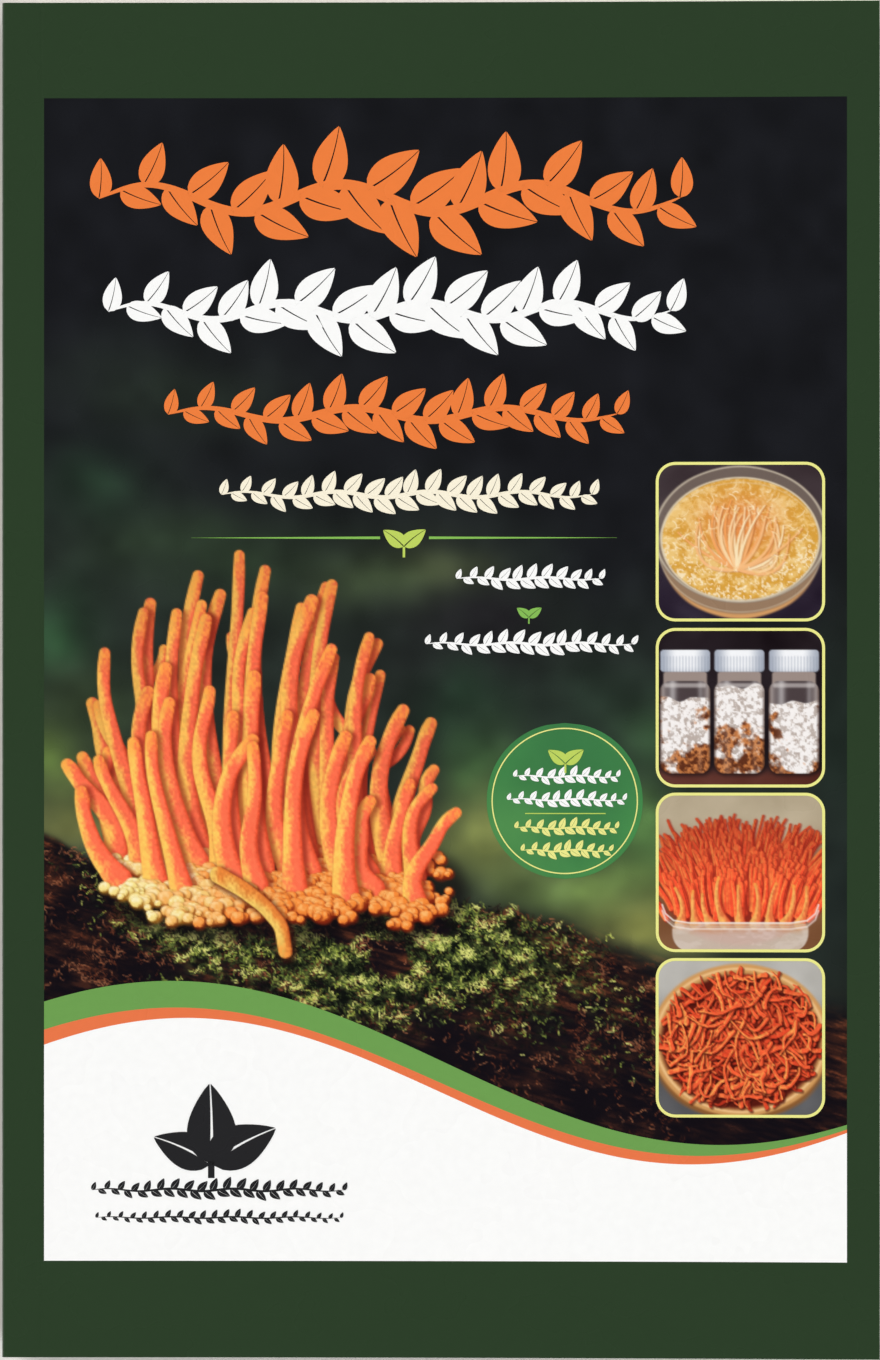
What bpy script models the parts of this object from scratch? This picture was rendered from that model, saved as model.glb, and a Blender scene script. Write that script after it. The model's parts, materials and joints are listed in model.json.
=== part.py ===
"""A closed paperback book lying on its back cover: a wraparound card cover glued to a block of trimmed leaves.

Metres, +Z up. The origin is on the surface that the book lies on, under the middle of the trimmed page.
+X points from the spine to the fore-edge and +Y from the tail to the head.
"""

import math

import bmesh
import bpy

MM = 0.001

# Driving dimensions
TRIM_WIDTH = 139.7 * MM  # 5.5 in, from the outside of the spine to the fore-edge
TRIM_HEIGHT = 215.9 * MM  # 8.5 in, from tail to head
LEAF_COUNT = 54  # 108 pages
LEAF_THICKNESS = 0.12 * MM
AIR_BETWEEN_LEAVES = 0.02 * MM
CARD_THICKNESS = 0.35 * MM
SPINE_GLUE_THICKNESS = 0.6 * MM
SIDE_GLUE_THICKNESS = 0.1 * MM
SIDE_GLUE_WIDTH = 5.2 * MM
SCORE_FROM_SPINE = 6.35 * MM  # 0.25 in, where the front cover creases
COVER_CURL = 1.8 * MM  # how far the front cover's fore-edge stands off the block
FIRST_LEAF_CURL = 1.2 * MM
LEAF_CURL_RATIO = 0.55  # each leaf under the first lifts this share of the one above it
CURLED_LEAVES = 5
CURL_POWER = 2.2

# Clearances between pieces
GLUE_GAP = 0.05 * MM
BLOCK_GAP = 0.04 * MM
SCORE_GAP = 0.3 * MM

# Shape detail
FOLD_RADIUS = 0.6 * MM  # outside radius of the card round each edge of the spine
FOLD_STEPS = 4
CURL_STEPS = 22

# Places that follow from them
SPINE_X = -TRIM_WIDTH / 2
FORE_EDGE_X = TRIM_WIDTH / 2
HEAD_Y = TRIM_HEIGHT / 2
SCORE_X = SPINE_X + SCORE_FROM_SPINE
GLUE_X = SPINE_X + CARD_THICKNESS + GLUE_GAP
LEAF_X = GLUE_X + SPINE_GLUE_THICKNESS + GLUE_GAP
BACK_SIDE_GLUE_Z = CARD_THICKNESS + GLUE_GAP
BLOCK_Z = BACK_SIDE_GLUE_Z + SIDE_GLUE_THICKNESS + BLOCK_GAP
LEAF_PITCH = LEAF_THICKNESS + AIR_BETWEEN_LEAVES
BLOCK_TOP_Z = BLOCK_Z + LEAF_COUNT * LEAF_PITCH - AIR_BETWEEN_LEAVES
FRONT_SIDE_GLUE_Z = BLOCK_TOP_Z + BLOCK_GAP
COVER_UNDERSIDE_Z = FRONT_SIDE_GLUE_Z + SIDE_GLUE_THICKNESS + GLUE_GAP
COVER_TOP_Z = COVER_UNDERSIDE_Z + CARD_THICKNESS
HINGE_Z = COVER_TOP_Z + SCORE_GAP / 2  # the front cover folds back on itself about this height

CARD_COLOUR = (0.027, 0.051, 0.023)
PAPER_COLOUR = (0.82, 0.80, 0.74)
GLUE_COLOUR = (0.75, 0.66, 0.42)


def clear_scene():
    """Removes every object that the startup scene holds."""
    for obj in list(bpy.data.objects):
        bpy.data.objects.remove(obj)


def make_material(name, colour, roughness):
    material = bpy.data.materials.new(name)
    material.use_nodes = True
    shader = material.node_tree.nodes["Principled BSDF"]
    shader.inputs["Base Color"].default_value = (*colour, 1.0)
    shader.inputs["Roughness"].default_value = roughness
    shader.inputs["Metallic"].default_value = 0.0
    return material


def add_object(name, mesh, material, collection, parent, location=(0.0, 0.0, 0.0)):
    obj = bpy.data.objects.new(name, mesh)
    obj.location = location
    obj.parent = parent
    mesh.materials.append(material)
    collection.objects.link(obj)
    return obj


def box_mesh(name, x0, x1, z0, z1):
    """A box over the book's whole height, from tail to head."""
    shape = bmesh.new()
    bmesh.ops.create_cube(shape, size=1.0)
    bmesh.ops.scale(shape, vec=(x1 - x0, TRIM_HEIGHT, z1 - z0), verts=shape.verts)
    bmesh.ops.translate(shape, vec=((x0 + x1) / 2, 0.0, (z0 + z1) / 2), verts=shape.verts)
    mesh = bpy.data.meshes.new(name)
    shape.to_mesh(mesh)
    shape.free()
    return mesh


def ribbon_mesh(name, profile):
    """An open surface that runs along (x, z) points and spans the book's height. Its faces point to the profile's left."""
    shape = bmesh.new()
    rows = [[shape.verts.new((x, y, z)) for x, z in profile] for y in (-HEAD_Y, HEAD_Y)]
    for i in range(len(profile) - 1):
        shape.faces.new((rows[0][i], rows[0][i + 1], rows[1][i + 1], rows[1][i]))
    mesh = bpy.data.meshes.new(name)
    shape.to_mesh(mesh)
    shape.free()
    return mesh


def thicken(obj, thickness):
    """Gives a ribbon its thickness, on the side that its faces point away from."""
    solidify = obj.modifiers.new("card", "SOLIDIFY")
    solidify.thickness = thickness
    solidify.offset = -1.0
    solidify.use_even_offset = True


def arc(centre_x, centre_z, radius, start_deg, end_deg):
    """Points on an arc in the XZ plane, both ends included."""
    span = end_deg - start_deg
    angles = [math.radians(start_deg + span * i / FOLD_STEPS) for i in range(FOLD_STEPS + 1)]
    return [(centre_x + radius * math.cos(a), centre_z + radius * math.sin(a)) for a in angles]


def curl_profile(start_x, surface_z, curl):
    """Points of a sheet's upper face that lies flat at start_x and lifts by curl at the fore-edge."""
    run = FORE_EDGE_X - start_x
    shares = [i / CURL_STEPS for i in range(CURL_STEPS + 1)]
    return [(start_x + run * s, surface_z + curl * s**CURL_POWER) for s in shares]


def build_spine_and_back_cover(collection, parent, card):
    """The card's back panel, its spine, and the strip that is glued down beside the front score, in one folded sheet."""
    fold_x = SPINE_X + FOLD_RADIUS
    top_fold_z = COVER_TOP_Z - FOLD_RADIUS
    profile = [(FORE_EDGE_X, 0.0)]
    profile += arc(fold_x, FOLD_RADIUS, FOLD_RADIUS, 270, 180)
    profile += arc(fold_x, top_fold_z, FOLD_RADIUS, 180, 90)
    profile.append((SCORE_X - SCORE_GAP / 2, COVER_TOP_Z))
    mesh = ribbon_mesh("cover_spine_and_back", profile)
    obj = add_object("cover_spine_and_back", mesh, card, collection, parent)
    thicken(obj, CARD_THICKNESS)


def build_front_cover(collection, hinge, card):
    """The card's front panel from the score to the fore-edge, with its slight outward curl."""
    profile = curl_profile(SCORE_X + SCORE_GAP / 2, COVER_TOP_Z, COVER_CURL)
    profile = [(x - SCORE_X, z - HINGE_Z) for x, z in profile]
    mesh = ribbon_mesh("cover_front_panel", profile)
    obj = add_object("cover_front_panel", mesh, card, collection, hinge)
    thicken(obj, CARD_THICKNESS)


def build_glue(collection, parent, glue):
    """The hot-melt strip down the spine and the two narrow strips that hold the card to the outer leaves."""
    spine = box_mesh("spine_glue", GLUE_X, GLUE_X + SPINE_GLUE_THICKNESS, BLOCK_Z, BLOCK_TOP_Z)
    add_object("spine_glue", spine, glue, collection, parent)
    start = SPINE_X + FOLD_RADIUS + GLUE_GAP
    for name, z in (("side_glue_front", FRONT_SIDE_GLUE_Z), ("side_glue_back", BACK_SIDE_GLUE_Z)):
        strip = box_mesh(name, start, start + SIDE_GLUE_WIDTH, z, z + SIDE_GLUE_THICKNESS)
        add_object(name, strip, glue, collection, parent)


def build_leaves(collection, parent, paper):
    """Every leaf of the block, numbered from the front. The first few lift a little with the cover."""
    flat_leaf = box_mesh("leaf", LEAF_X, FORE_EDGE_X, -LEAF_THICKNESS, 0.0)
    flat_leaf.materials.append(paper)
    for number in range(1, LEAF_COUNT + 1):
        name = f"leaf_{number:02d}"
        top_z = BLOCK_TOP_Z - (number - 1) * LEAF_PITCH
        if number > CURLED_LEAVES:
            obj = bpy.data.objects.new(name, flat_leaf)
            obj.location = (0.0, 0.0, top_z)
            obj.parent = parent
            collection.objects.link(obj)
            continue
        curl = FIRST_LEAF_CURL * LEAF_CURL_RATIO ** (number - 1)
        profile = [(LEAF_X, 0.0), *curl_profile(SCORE_X, 0.0, curl)]
        obj = add_object(name, ribbon_mesh(name, profile), paper, collection, parent, (0.0, 0.0, top_z))
        thicken(obj, LEAF_THICKNESS)


def main():
    clear_scene()
    collection = bpy.data.collections.new("paperback_book")
    bpy.context.scene.collection.children.link(collection)
    book = bpy.data.objects.new("book", None)
    hinge = bpy.data.objects.new("front_cover_score", None)
    hinge.location = (SCORE_X, 0.0, HINGE_Z)
    hinge.parent = book
    collection.objects.link(book)
    collection.objects.link(hinge)
    card = make_material("laminated card", CARD_COLOUR, 0.3)
    paper = make_material("uncoated paper", PAPER_COLOUR, 0.9)
    glue = make_material("hot-melt glue", GLUE_COLOUR, 0.5)
    build_spine_and_back_cover(collection, book, card)
    build_front_cover(collection, hinge, card)
    build_glue(collection, book, glue)
    build_leaves(collection, book, paper)


main()
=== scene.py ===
"""A paperback handbook lying closed: a printed, laminated card cover folded round a block of trimmed leaves.

The frame's sizes are in metres. Places on the printed cover are given as a book designer gives them, in
millimetres across from the spine edge and down from the head. The pictures on the cover are painted by the
classes below as nets of ink colours, and every crisp mark is a film of ink with its own outline.
"""
import json
import logging
import math
from dataclasses import dataclass, field
from enum import Enum
from typing import Any, Callable, Mapping, Sequence

import bmesh
import bpy
import numpy as np
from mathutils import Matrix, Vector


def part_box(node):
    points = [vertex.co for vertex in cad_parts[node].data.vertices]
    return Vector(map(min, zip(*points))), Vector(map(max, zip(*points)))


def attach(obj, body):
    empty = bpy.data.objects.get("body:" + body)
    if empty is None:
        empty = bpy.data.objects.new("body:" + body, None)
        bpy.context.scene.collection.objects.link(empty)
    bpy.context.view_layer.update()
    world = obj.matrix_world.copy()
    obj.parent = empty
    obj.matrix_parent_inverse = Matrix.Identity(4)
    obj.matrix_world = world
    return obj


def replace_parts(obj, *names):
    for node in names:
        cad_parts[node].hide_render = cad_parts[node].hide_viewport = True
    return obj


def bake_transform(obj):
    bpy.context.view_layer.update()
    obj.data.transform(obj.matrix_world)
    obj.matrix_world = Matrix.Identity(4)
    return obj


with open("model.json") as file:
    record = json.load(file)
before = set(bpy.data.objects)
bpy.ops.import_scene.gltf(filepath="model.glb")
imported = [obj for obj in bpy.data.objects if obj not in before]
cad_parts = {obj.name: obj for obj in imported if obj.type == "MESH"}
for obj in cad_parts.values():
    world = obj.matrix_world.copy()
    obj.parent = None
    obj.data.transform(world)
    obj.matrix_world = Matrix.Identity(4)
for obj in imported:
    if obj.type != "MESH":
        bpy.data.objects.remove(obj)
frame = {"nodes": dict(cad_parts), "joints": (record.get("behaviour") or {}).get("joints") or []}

MM = 0.001
TAU = 2.0 * math.pi
COLOUR_ATTRIBUTE = "ink"
log = logging.getLogger("paperback")

Net = np.ndarray
Row = Sequence[float]
Shade = Callable[..., Net]
Ground = str | Net | Shade
Inputs = Mapping[str | int, Any]
Tree, Node, Socket = bpy.types.NodeTree, bpy.types.Node, bpy.types.NodeSocket
Material, Mesh, Object = bpy.types.Material, bpy.types.Mesh, bpy.types.Object


# ---- small helpers


def srgb(colour: str | Net) -> Net:
    """The sRGB values, 0 to 1, of a hex code. An array passes as it is."""
    if isinstance(colour, str):
        return np.array([int(colour[i:i + 2], 16) for i in (1, 3, 5)]) / 255.0
    return colour


def linear(colour: str | Net) -> Net:
    """Turns sRGB colours to linear ones.

    Args:
        colour: A hex code, or an array whose last axis is red, green and blue from 0 to 1.

    Returns:
        The same colours, linear, with an alpha of 1 added.
    """
    values = np.clip(srgb(colour), 0.0, 1.0)
    values = np.where(values <= 0.04045, values / 12.92, ((values + 0.055) / 1.055) ** 2.4)
    return np.concatenate([values, np.ones(values.shape[:-1] + (1,))], axis=-1)


def ease(low: float, high: float, value: Net) -> Net:
    """0 below low, 1 above high, and a smooth step between them."""
    t = np.clip((value - low) / (high - low), 0.0, 1.0)
    return t * t * (3.0 - 2.0 * t)


def mix(first: str | Net, second: str | Net, share: Net | float) -> Net:
    """Colours between two colours, by a share from 0 to 1 for each place."""
    first, second = srgb(first), srgb(second)
    return first + (second - first) * np.asarray(share)[..., None]


def add_node(tree: Tree, kind: str, inputs: Inputs | None = None, **settings: Any) -> Node:
    """Adds a node with its settings and links.

    Args:
        tree: The shader or geometry tree.
        kind: The node's type name.
        inputs: For each input's name or number, its value, or the output socket that feeds it.
        settings: The node's own properties.

    Returns:
        The new node.
    """
    node = tree.nodes.new(kind)
    for name, value in settings.items():
        setattr(node, name, value)
    for name, value in (inputs or {}).items():
        if isinstance(value, Socket):
            tree.links.new(value, node.inputs[name])
        else:
            node.inputs[name].default_value = value
    return node


class Noise:
    """Smooth value noise over a plane, the same on every run."""

    SIZE = 256
    FINER = 2.03
    WEAKER = 0.55

    def __init__(self, seed: int) -> None:
        """Draws the table of random values that the noise is read from."""
        self.table = np.random.default_rng(seed).random((self.SIZE, self.SIZE))

    def at(self, x: Net, y: Net) -> Net:
        """The noise, 0 to 1, with lumps one unit wide.

        Args:
            x: Places along the first axis.
            y: Places along the second.

        Returns:
            The noise there.
        """
        column, row = np.floor(x).astype(int), np.floor(y).astype(int)
        s, t = x - column, y - row
        s, t = s * s * (3.0 - 2.0 * s), t * t * (3.0 - 2.0 * t)
        last = self.SIZE - 1
        left, right, top, low = column & last, (column + 1) & last, row & last, (row + 1) & last
        upper = self.table[top, left] * (1.0 - s) + self.table[top, right] * s
        lower = self.table[low, left] * (1.0 - s) + self.table[low, right] * s
        return upper * (1.0 - t) + lower * t

    def cloud(self, x: Net, y: Net, octaves: int = 4) -> Net:
        """Noise of several sizes together, from 0 to 1 around 0.5.

        Args:
            x: Places along the first axis.
            y: Places along the second.
            octaves: How many sizes there are.

        Returns:
            The noise there.
        """
        total, weight = np.zeros(np.shape(x)), 0.0
        for octave in range(octaves):
            gain, scale = self.WEAKER ** octave, self.FINER ** octave
            # Each octave is read at a place of its own, so that their lumps don't line up.
            total += gain * self.at(x * scale + 17.3 * octave, y * scale + 5.1 * octave)
            weight += gain
        return total / weight


# ---- finishes


class Ink(Enum):
    """The flat colours of the cover's design."""

    BORDER = "#2C3F29"
    ORANGE = "#F0803F"
    WHITE = "#FCFCFB"
    CREAM = "#FBF3DC"
    LEAF_GREEN = "#86BD58"
    BAND_GREEN = "#6EA052"
    BAND_ORANGE = "#EA784A"
    FRAME_YELLOW = "#EDEB8E"
    SPROUT = "#BFD561"
    BLACK = "#262628"


@dataclass(frozen=True)
class Finish:
    """A material of the book.

    Attributes:
        name: The material's common name and how its surface was made.
        roughness: Typical roughness of that surface.
        slot: The record's material slot that the finish belongs to.
    """

    name: str
    roughness: float
    slot: str = "laminated_card"

    def start(self) -> tuple[Material, Tree, Node, Socket]:
        """Makes the material with its surface shader.

        Returns:
            The material, its tree, the surface shader and the object coordinates' socket.
        """
        material = bpy.data.materials.new(self.name)
        material.use_nodes = True
        tree = material.node_tree
        surface = tree.nodes["Principled BSDF"]
        surface.inputs["Roughness"].default_value = self.roughness
        place = add_node(tree, "ShaderNodeTexCoord").outputs["Object"]
        return material, tree, surface, place

    def grain(
        self, tree: Tree, place: Socket, size_mm: float, low: float, high: float,
        stretch: tuple[float, float, float] = (1.0, 1.0, 1.0), detail: float = 3.0,
    ) -> Socket:
        """A noise whose lumps have a real size, brought between two values.

        Args:
            tree: The material's tree.
            place: The coordinates that it is read at.
            size_mm: How wide one lump is.
            low: The least value.
            high: The most.
            stretch: How much shorter the lumps are along each axis.
            detail: How many finer layers it has.

        Returns:
            The value's socket.
        """
        turned = add_node(tree, "ShaderNodeMapping", {"Vector": place, "Scale": stretch})
        scale = 1.0 / (size_mm * MM)
        given = {"Vector": turned.outputs[0], "Scale": scale, "Detail": detail}
        noise = add_node(tree, "ShaderNodeTexNoise", given).outputs[0]
        spread = {"Value": noise, "From Min": 0.3, "From Max": 0.7, "To Min": low, "To Max": high}
        return add_node(tree, "ShaderNodeMapRange", spread).outputs[0]

    def tint(self, tree: Tree, base: Socket | Net, factor: Socket) -> Socket:
        """A colour made lighter and darker by a factor round 1."""
        return add_node(tree, "ShaderNodeVectorMath", {0: base, 1: factor}, operation="MULTIPLY").outputs[0]

    def bump(self, tree: Tree, surface: Node, height: Socket, depth_mm: float) -> None:
        """Gives the surface a relief of a real depth."""
        relief = {"Height": height, "Strength": 1.0, "Distance": depth_mm * MM}
        tree.links.new(add_node(tree, "ShaderNodeBump", relief).outputs[0], surface.inputs["Normal"])


@dataclass(frozen=True)
class LaminatedPrint(Finish):
    """Litho-printed cover board under a gloss polypropylene film.

    The ink gives the colour, slightly uneven from the press. The film on top gives a soft clear gloss with
    faint orange peel and the dull patches that handling leaves.

    Attributes:
        ink: The flat ink, or None where the ink colours are on the mesh.
    """

    ink: Ink | None = None

    def make(self) -> Material:
        """Builds the material.

        Returns:
            The material.
        """
        material, tree, surface, place = self.start()
        if self.ink is None:
            base = add_node(tree, "ShaderNodeAttribute", attribute_name=COLOUR_ATTRIBUTE).outputs["Color"]
        else:
            base = linear(self.ink.value)[:3]
        # Press mottle is about a millimetre wide and a hundredth deep in tone.
        mottle = self.grain(tree, place, 1.4, 0.988, 1.012)
        tree.links.new(self.tint(tree, base, mottle), surface.inputs["Base Color"])
        # Handling leaves dull patches about as wide as a fingertip.
        dull = self.grain(tree, place, 16.0, self.roughness - 0.05, self.roughness + 0.06)
        tree.links.new(dull, surface.inputs["Roughness"])
        surface.inputs["Specular IOR Level"].default_value = 0.3
        surface.inputs["Coat Weight"].default_value = 0.35
        surface.inputs["Coat Roughness"].default_value = 0.12
        surface.inputs["Coat IOR"].default_value = 1.49
        # Film laid on board has orange peel about 2 mm wide, drawn at its real size.
        self.bump(tree, surface, self.grain(tree, place, 2.2, 0.0, 1.0), 0.002)
        return material


@dataclass(frozen=True)
class FibreSheet(Finish):
    """Uncoated paper or board: a felt of wood fibres, matte, a little uneven in tone and soft in its relief.

    Attributes:
        colour: The sheet's colour.
        fibre_mm: How wide its flocks of fibre are.
        relief_mm: How deep they stand.
        stretch: How much shorter the flocks are along each axis, as on a cut edge.
        tone_and_shade_from_mesh: Whether the mesh carries each sheet's own tone and its painted shade.
    """

    colour: str = "#F4F1E8"
    fibre_mm: float = 0.6
    relief_mm: float = 0.012
    stretch: tuple[float, float, float] = (1.0, 1.0, 1.0)
    tone_and_shade_from_mesh: bool = False

    def make(self) -> Material:
        """Builds the material.

        Returns:
            The material.
        """
        material, tree, surface, place = self.start()
        flocks = self.grain(tree, place, self.fibre_mm, 0.965, 1.03, self.stretch, detail=4.0)
        colour = self.tint(tree, linear(self.colour)[:3], flocks)
        # The mesh's colour is each leaf's own tone times a painted shade for the shadows between bundles of
        # leaves.
        if self.tone_and_shade_from_mesh:
            tone = add_node(tree, "ShaderNodeAttribute", attribute_name=COLOUR_ATTRIBUTE).outputs["Color"]
            colour = self.tint(tree, colour, tone)
        tree.links.new(colour, surface.inputs["Base Color"])
        surface.inputs["Specular IOR Level"].default_value = 0.25
        surface.inputs["Sheen Weight"].default_value = 0.06
        surface.inputs["Sheen Roughness"].default_value = 0.5
        relief = self.grain(tree, place, self.fibre_mm * 0.5, 0.0, 1.0, self.stretch)
        self.bump(tree, surface, relief, self.relief_mm)
        return material


@dataclass(frozen=True)
class HotMelt(Finish):
    """EVA hot-melt glue, laid on molten: off-white, waxy and a little see-through, with slow ripples."""

    colour: str = "#EBE3CD"

    def make(self) -> Material:
        """Builds the material.

        Returns:
            The material.
        """
        material, tree, surface, place = self.start()
        cloudy = self.grain(tree, place, 2.5, 0.94, 1.04)
        tree.links.new(self.tint(tree, linear(self.colour)[:3], cloudy), surface.inputs["Base Color"])
        surface.inputs["Subsurface Weight"].default_value = 0.25
        surface.inputs["Subsurface Scale"].default_value = 0.4 * MM
        self.bump(tree, surface, self.grain(tree, place, 1.2, 0.0, 1.0), 0.05)
        return material


@dataclass(frozen=True)
class PaperSweep(Finish):
    """The studio's pale seamless paper: matte, with a very faint tooth."""

    colour: str = "#E9E7E3"

    def make(self) -> Material:
        """Builds the material.

        Returns:
            The material.
        """
        material, tree, surface, place = self.start()
        tooth = self.grain(tree, place, 3.0, 0.99, 1.01)
        tree.links.new(self.tint(tree, linear(self.colour)[:3], tooth), surface.inputs["Base Color"])
        return material


class Finishes:
    """Every finish of the book, made once."""

    def __init__(self) -> None:
        """Builds the materials and notes the record's slot of each."""
        gloss = 0.27
        printed = {
            self.key(ink): LaminatedPrint(f"gloss_laminated_{ink.name.lower()}_ink", gloss, ink=ink)
            for ink in Ink
        }
        rest: dict[str, Finish] = {
            "picture": LaminatedPrint("gloss_laminated_four_colour_print", gloss),
            "card_inside": FibreSheet("uncoated_cover_board", 0.8, colour="#F1EFE9", fibre_mm=0.8),
            "card_edge": FibreSheet(
                "guillotined_cover_board_edge", 0.85, colour="#DDDACF", fibre_mm=0.5, stretch=(1.0, 1.0, 6.0)
            ),
            "paper": FibreSheet(
                "uncoated_book_paper", 0.86, "paper", colour="#F3EFE2", fibre_mm=0.5, tone_and_shade_from_mesh=True
            ),
            "hot_melt": HotMelt("eva_hot_melt_glue", 0.42, "hot_melt_glue"),
            "sweep": PaperSweep("seamless_background_paper", 0.9),
        }
        self.finishes: dict[str, Finish] = {**printed, **rest}
        self.materials = {key: finish.make() for key, finish in self.finishes.items()}

    @staticmethod
    def key(key: str | Ink) -> str:
        """A finish's name here, from that name or from its ink."""
        return f"print_{key.name.lower()}" if isinstance(key, Ink) else key

    def __getitem__(self, key: str | Ink) -> Material:
        """The material of a finish, by its name here or by its ink."""
        return self.materials[self.key(key)]

    def slot(self, key: str | Ink) -> str:
        """The record's slot of a finish."""
        return self.finishes[self.key(key)].slot


# ---- film meshes


@dataclass(frozen=True)
class Face:
    """A face of the book that ink is laid on.

    Attributes:
        body: The body that the face moves with.
        spot: Turns millimetres across and down, and a lift in metres, into points of the frame.
    """

    body: str
    spot: Callable[[Net, Net, float], Net]


@dataclass(frozen=True)
class Layer:
    """A layer of ink on a face of the book.

    Attributes:
        face: The face.
        lift: How far the layer's upper side stands off it, in metres.
    """

    face: Face
    lift: float


def film_mesh(
    name: str, points: Net, thickness: float, wrap: bool = False, under: Net | None = None
) -> Mesh:
    """A closed film from a net of points on its upper side.

    Args:
        name: The mesh's name.
        points: The net, rows by columns by 3. Its rows run down and its columns across, seen from above.
        thickness: How thick the film is, downwards, in metres.
        wrap: Whether the last column joins the first, as on a ring.
        under: The directions from its upper side to its lower one, down unless given.

    Returns:
        The mesh, with its upper vertices first, row by row.
    """
    rows, columns = points.shape[:2]
    top = np.arange(rows * columns).reshape(rows, columns)
    border = np.zeros((rows, columns), bool)
    border[[0, -1], :] = True
    if not wrap:
        border[:, [0, -1]] = True
    low = np.full((rows, columns), -1)
    low[border] = top.size + np.arange(border.sum())
    inward = np.broadcast_to((0.0, 0.0, -1.0) if under is None else under, points.shape)
    vertices = np.concatenate([points.reshape(-1, 3), points[border] + inward[border] * thickness])
    following = np.roll(top, -1, axis=1) if wrap else top[:, 1:]
    here = top if wrap else top[:, :-1]
    quads = [np.stack([here[:-1], here[1:], following[1:], following[:-1]], -1).reshape(-1, 4)]
    low_next = np.roll(low, -1, axis=1) if wrap else low[:, 1:]
    low_here = low if wrap else low[:, :-1]
    quads.append(np.stack([here[0], following[0], low_next[0], low_here[0]], -1))
    quads.append(np.stack([following[-1], here[-1], low_here[-1], low_next[-1]], -1))
    strips = np.stack([low_here[0], low_next[0], low_next[-1], low_here[-1]], -1)
    many = []
    if not wrap:
        quads.append(np.stack([top[1:, 0], top[:-1, 0], low[:-1, 0], low[1:, 0]], -1))
        quads.append(np.stack([top[:-1, -1], top[1:, -1], low[1:, -1], low[:-1, -1]], -1))
        many.append([low[0, 0], low[0, 1], low[-1, 1], *low[:0:-1, 0]])
        many.append([low[0, -2], *low[:, -1], low[-1, -2]])
        strips = strips[1:-1]
    faces = np.concatenate([*quads, strips]).tolist() + [[int(v) for v in face] for face in many]
    mesh = bpy.data.meshes.new(name)
    mesh.from_pydata(vertices, [], faces)
    mesh.update()
    return mesh


def map_bake(mesh: Mesh, rows: int, columns: int) -> None:
    """Gives a film a flat map: its upper side fills it, and its sides and underside lie along one edge.

    Args:
        mesh: The film.
        rows: How many rows of points its upper side has.
        columns: How many columns.
    """
    u, v = np.meshgrid(np.linspace(0.0, 1.0, columns), np.linspace(1.0, 0.03, rows))
    flat = np.stack([u.ravel(), v.ravel()], -1)
    corner = np.zeros(len(mesh.loops), int)
    mesh.loops.foreach_get("vertex_index", corner)
    starts = np.zeros(len(mesh.polygons), int)
    mesh.polygons.foreach_get("loop_start", starts)
    upper = starts[(rows - 1) * (columns - 1)]
    places = np.zeros((len(corner), 2))
    places[:upper] = flat[corner[:upper]]
    rest = np.arange(len(corner) - upper)
    places[upper:] = np.stack([rest / len(rest), 0.005 + 0.01 * (rest % 2)], -1)
    layer = mesh.uv_layers.new(name="OFBake")
    layer.data.foreach_set("uv", places.ravel())


def set_vertex_colours(mesh: Mesh, colours: Net) -> None:
    """Puts a colour on each vertex of a mesh.

    Args:
        mesh: The mesh.
        colours: Linear colours with alpha, one for each vertex, or one for them all.
    """
    values = np.broadcast_to(colours, (len(mesh.vertices), 4)).astype(np.float32)
    layer = mesh.color_attributes.new(COLOUR_ATTRIBUTE, "FLOAT_COLOR", "POINT")
    layer.data.foreach_set("color", values.ravel())


@dataclass
class Piece:
    """A finished piece of the book, on its way into the scene.

    Attributes:
        name: The piece's name.
        mesh: Its mesh, in the frame's place.
        dress: The keys of its finishes, one for each material slot of the mesh.
        smooth_deg: Edges flatter than this are shaded smooth.
    """

    name: str
    mesh: Mesh
    dress: Sequence[str | Ink]
    smooth_deg: float = 35.0

    def show(self, finishes: Finishes, body: str | None) -> Object:
        """Makes the object, dresses it and puts it on its body.

        Args:
            finishes: Every finish of the book.
            body: The body that it rides on, or None, where it is put on no body.

        Returns:
            The object.
        """
        for key in self.dress:
            self.mesh.materials.append(finishes[key])
        self.mesh.shade_smooth()
        self.mesh.set_sharp_from_angle(angle=math.radians(self.smooth_deg))
        thing = bpy.data.objects.new(self.name, self.mesh)
        bpy.context.scene.collection.objects.link(thing)
        if body is not None:
            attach(thing, body)
        finishes.slot(self.dress[0])
        triangles = sum(len(face.vertices) - 2 for face in self.mesh.polygons)
        log.info("%s: %d triangles on %s", self.name, triangles, body or "the fold")
        return thing


# ---- painting


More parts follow.
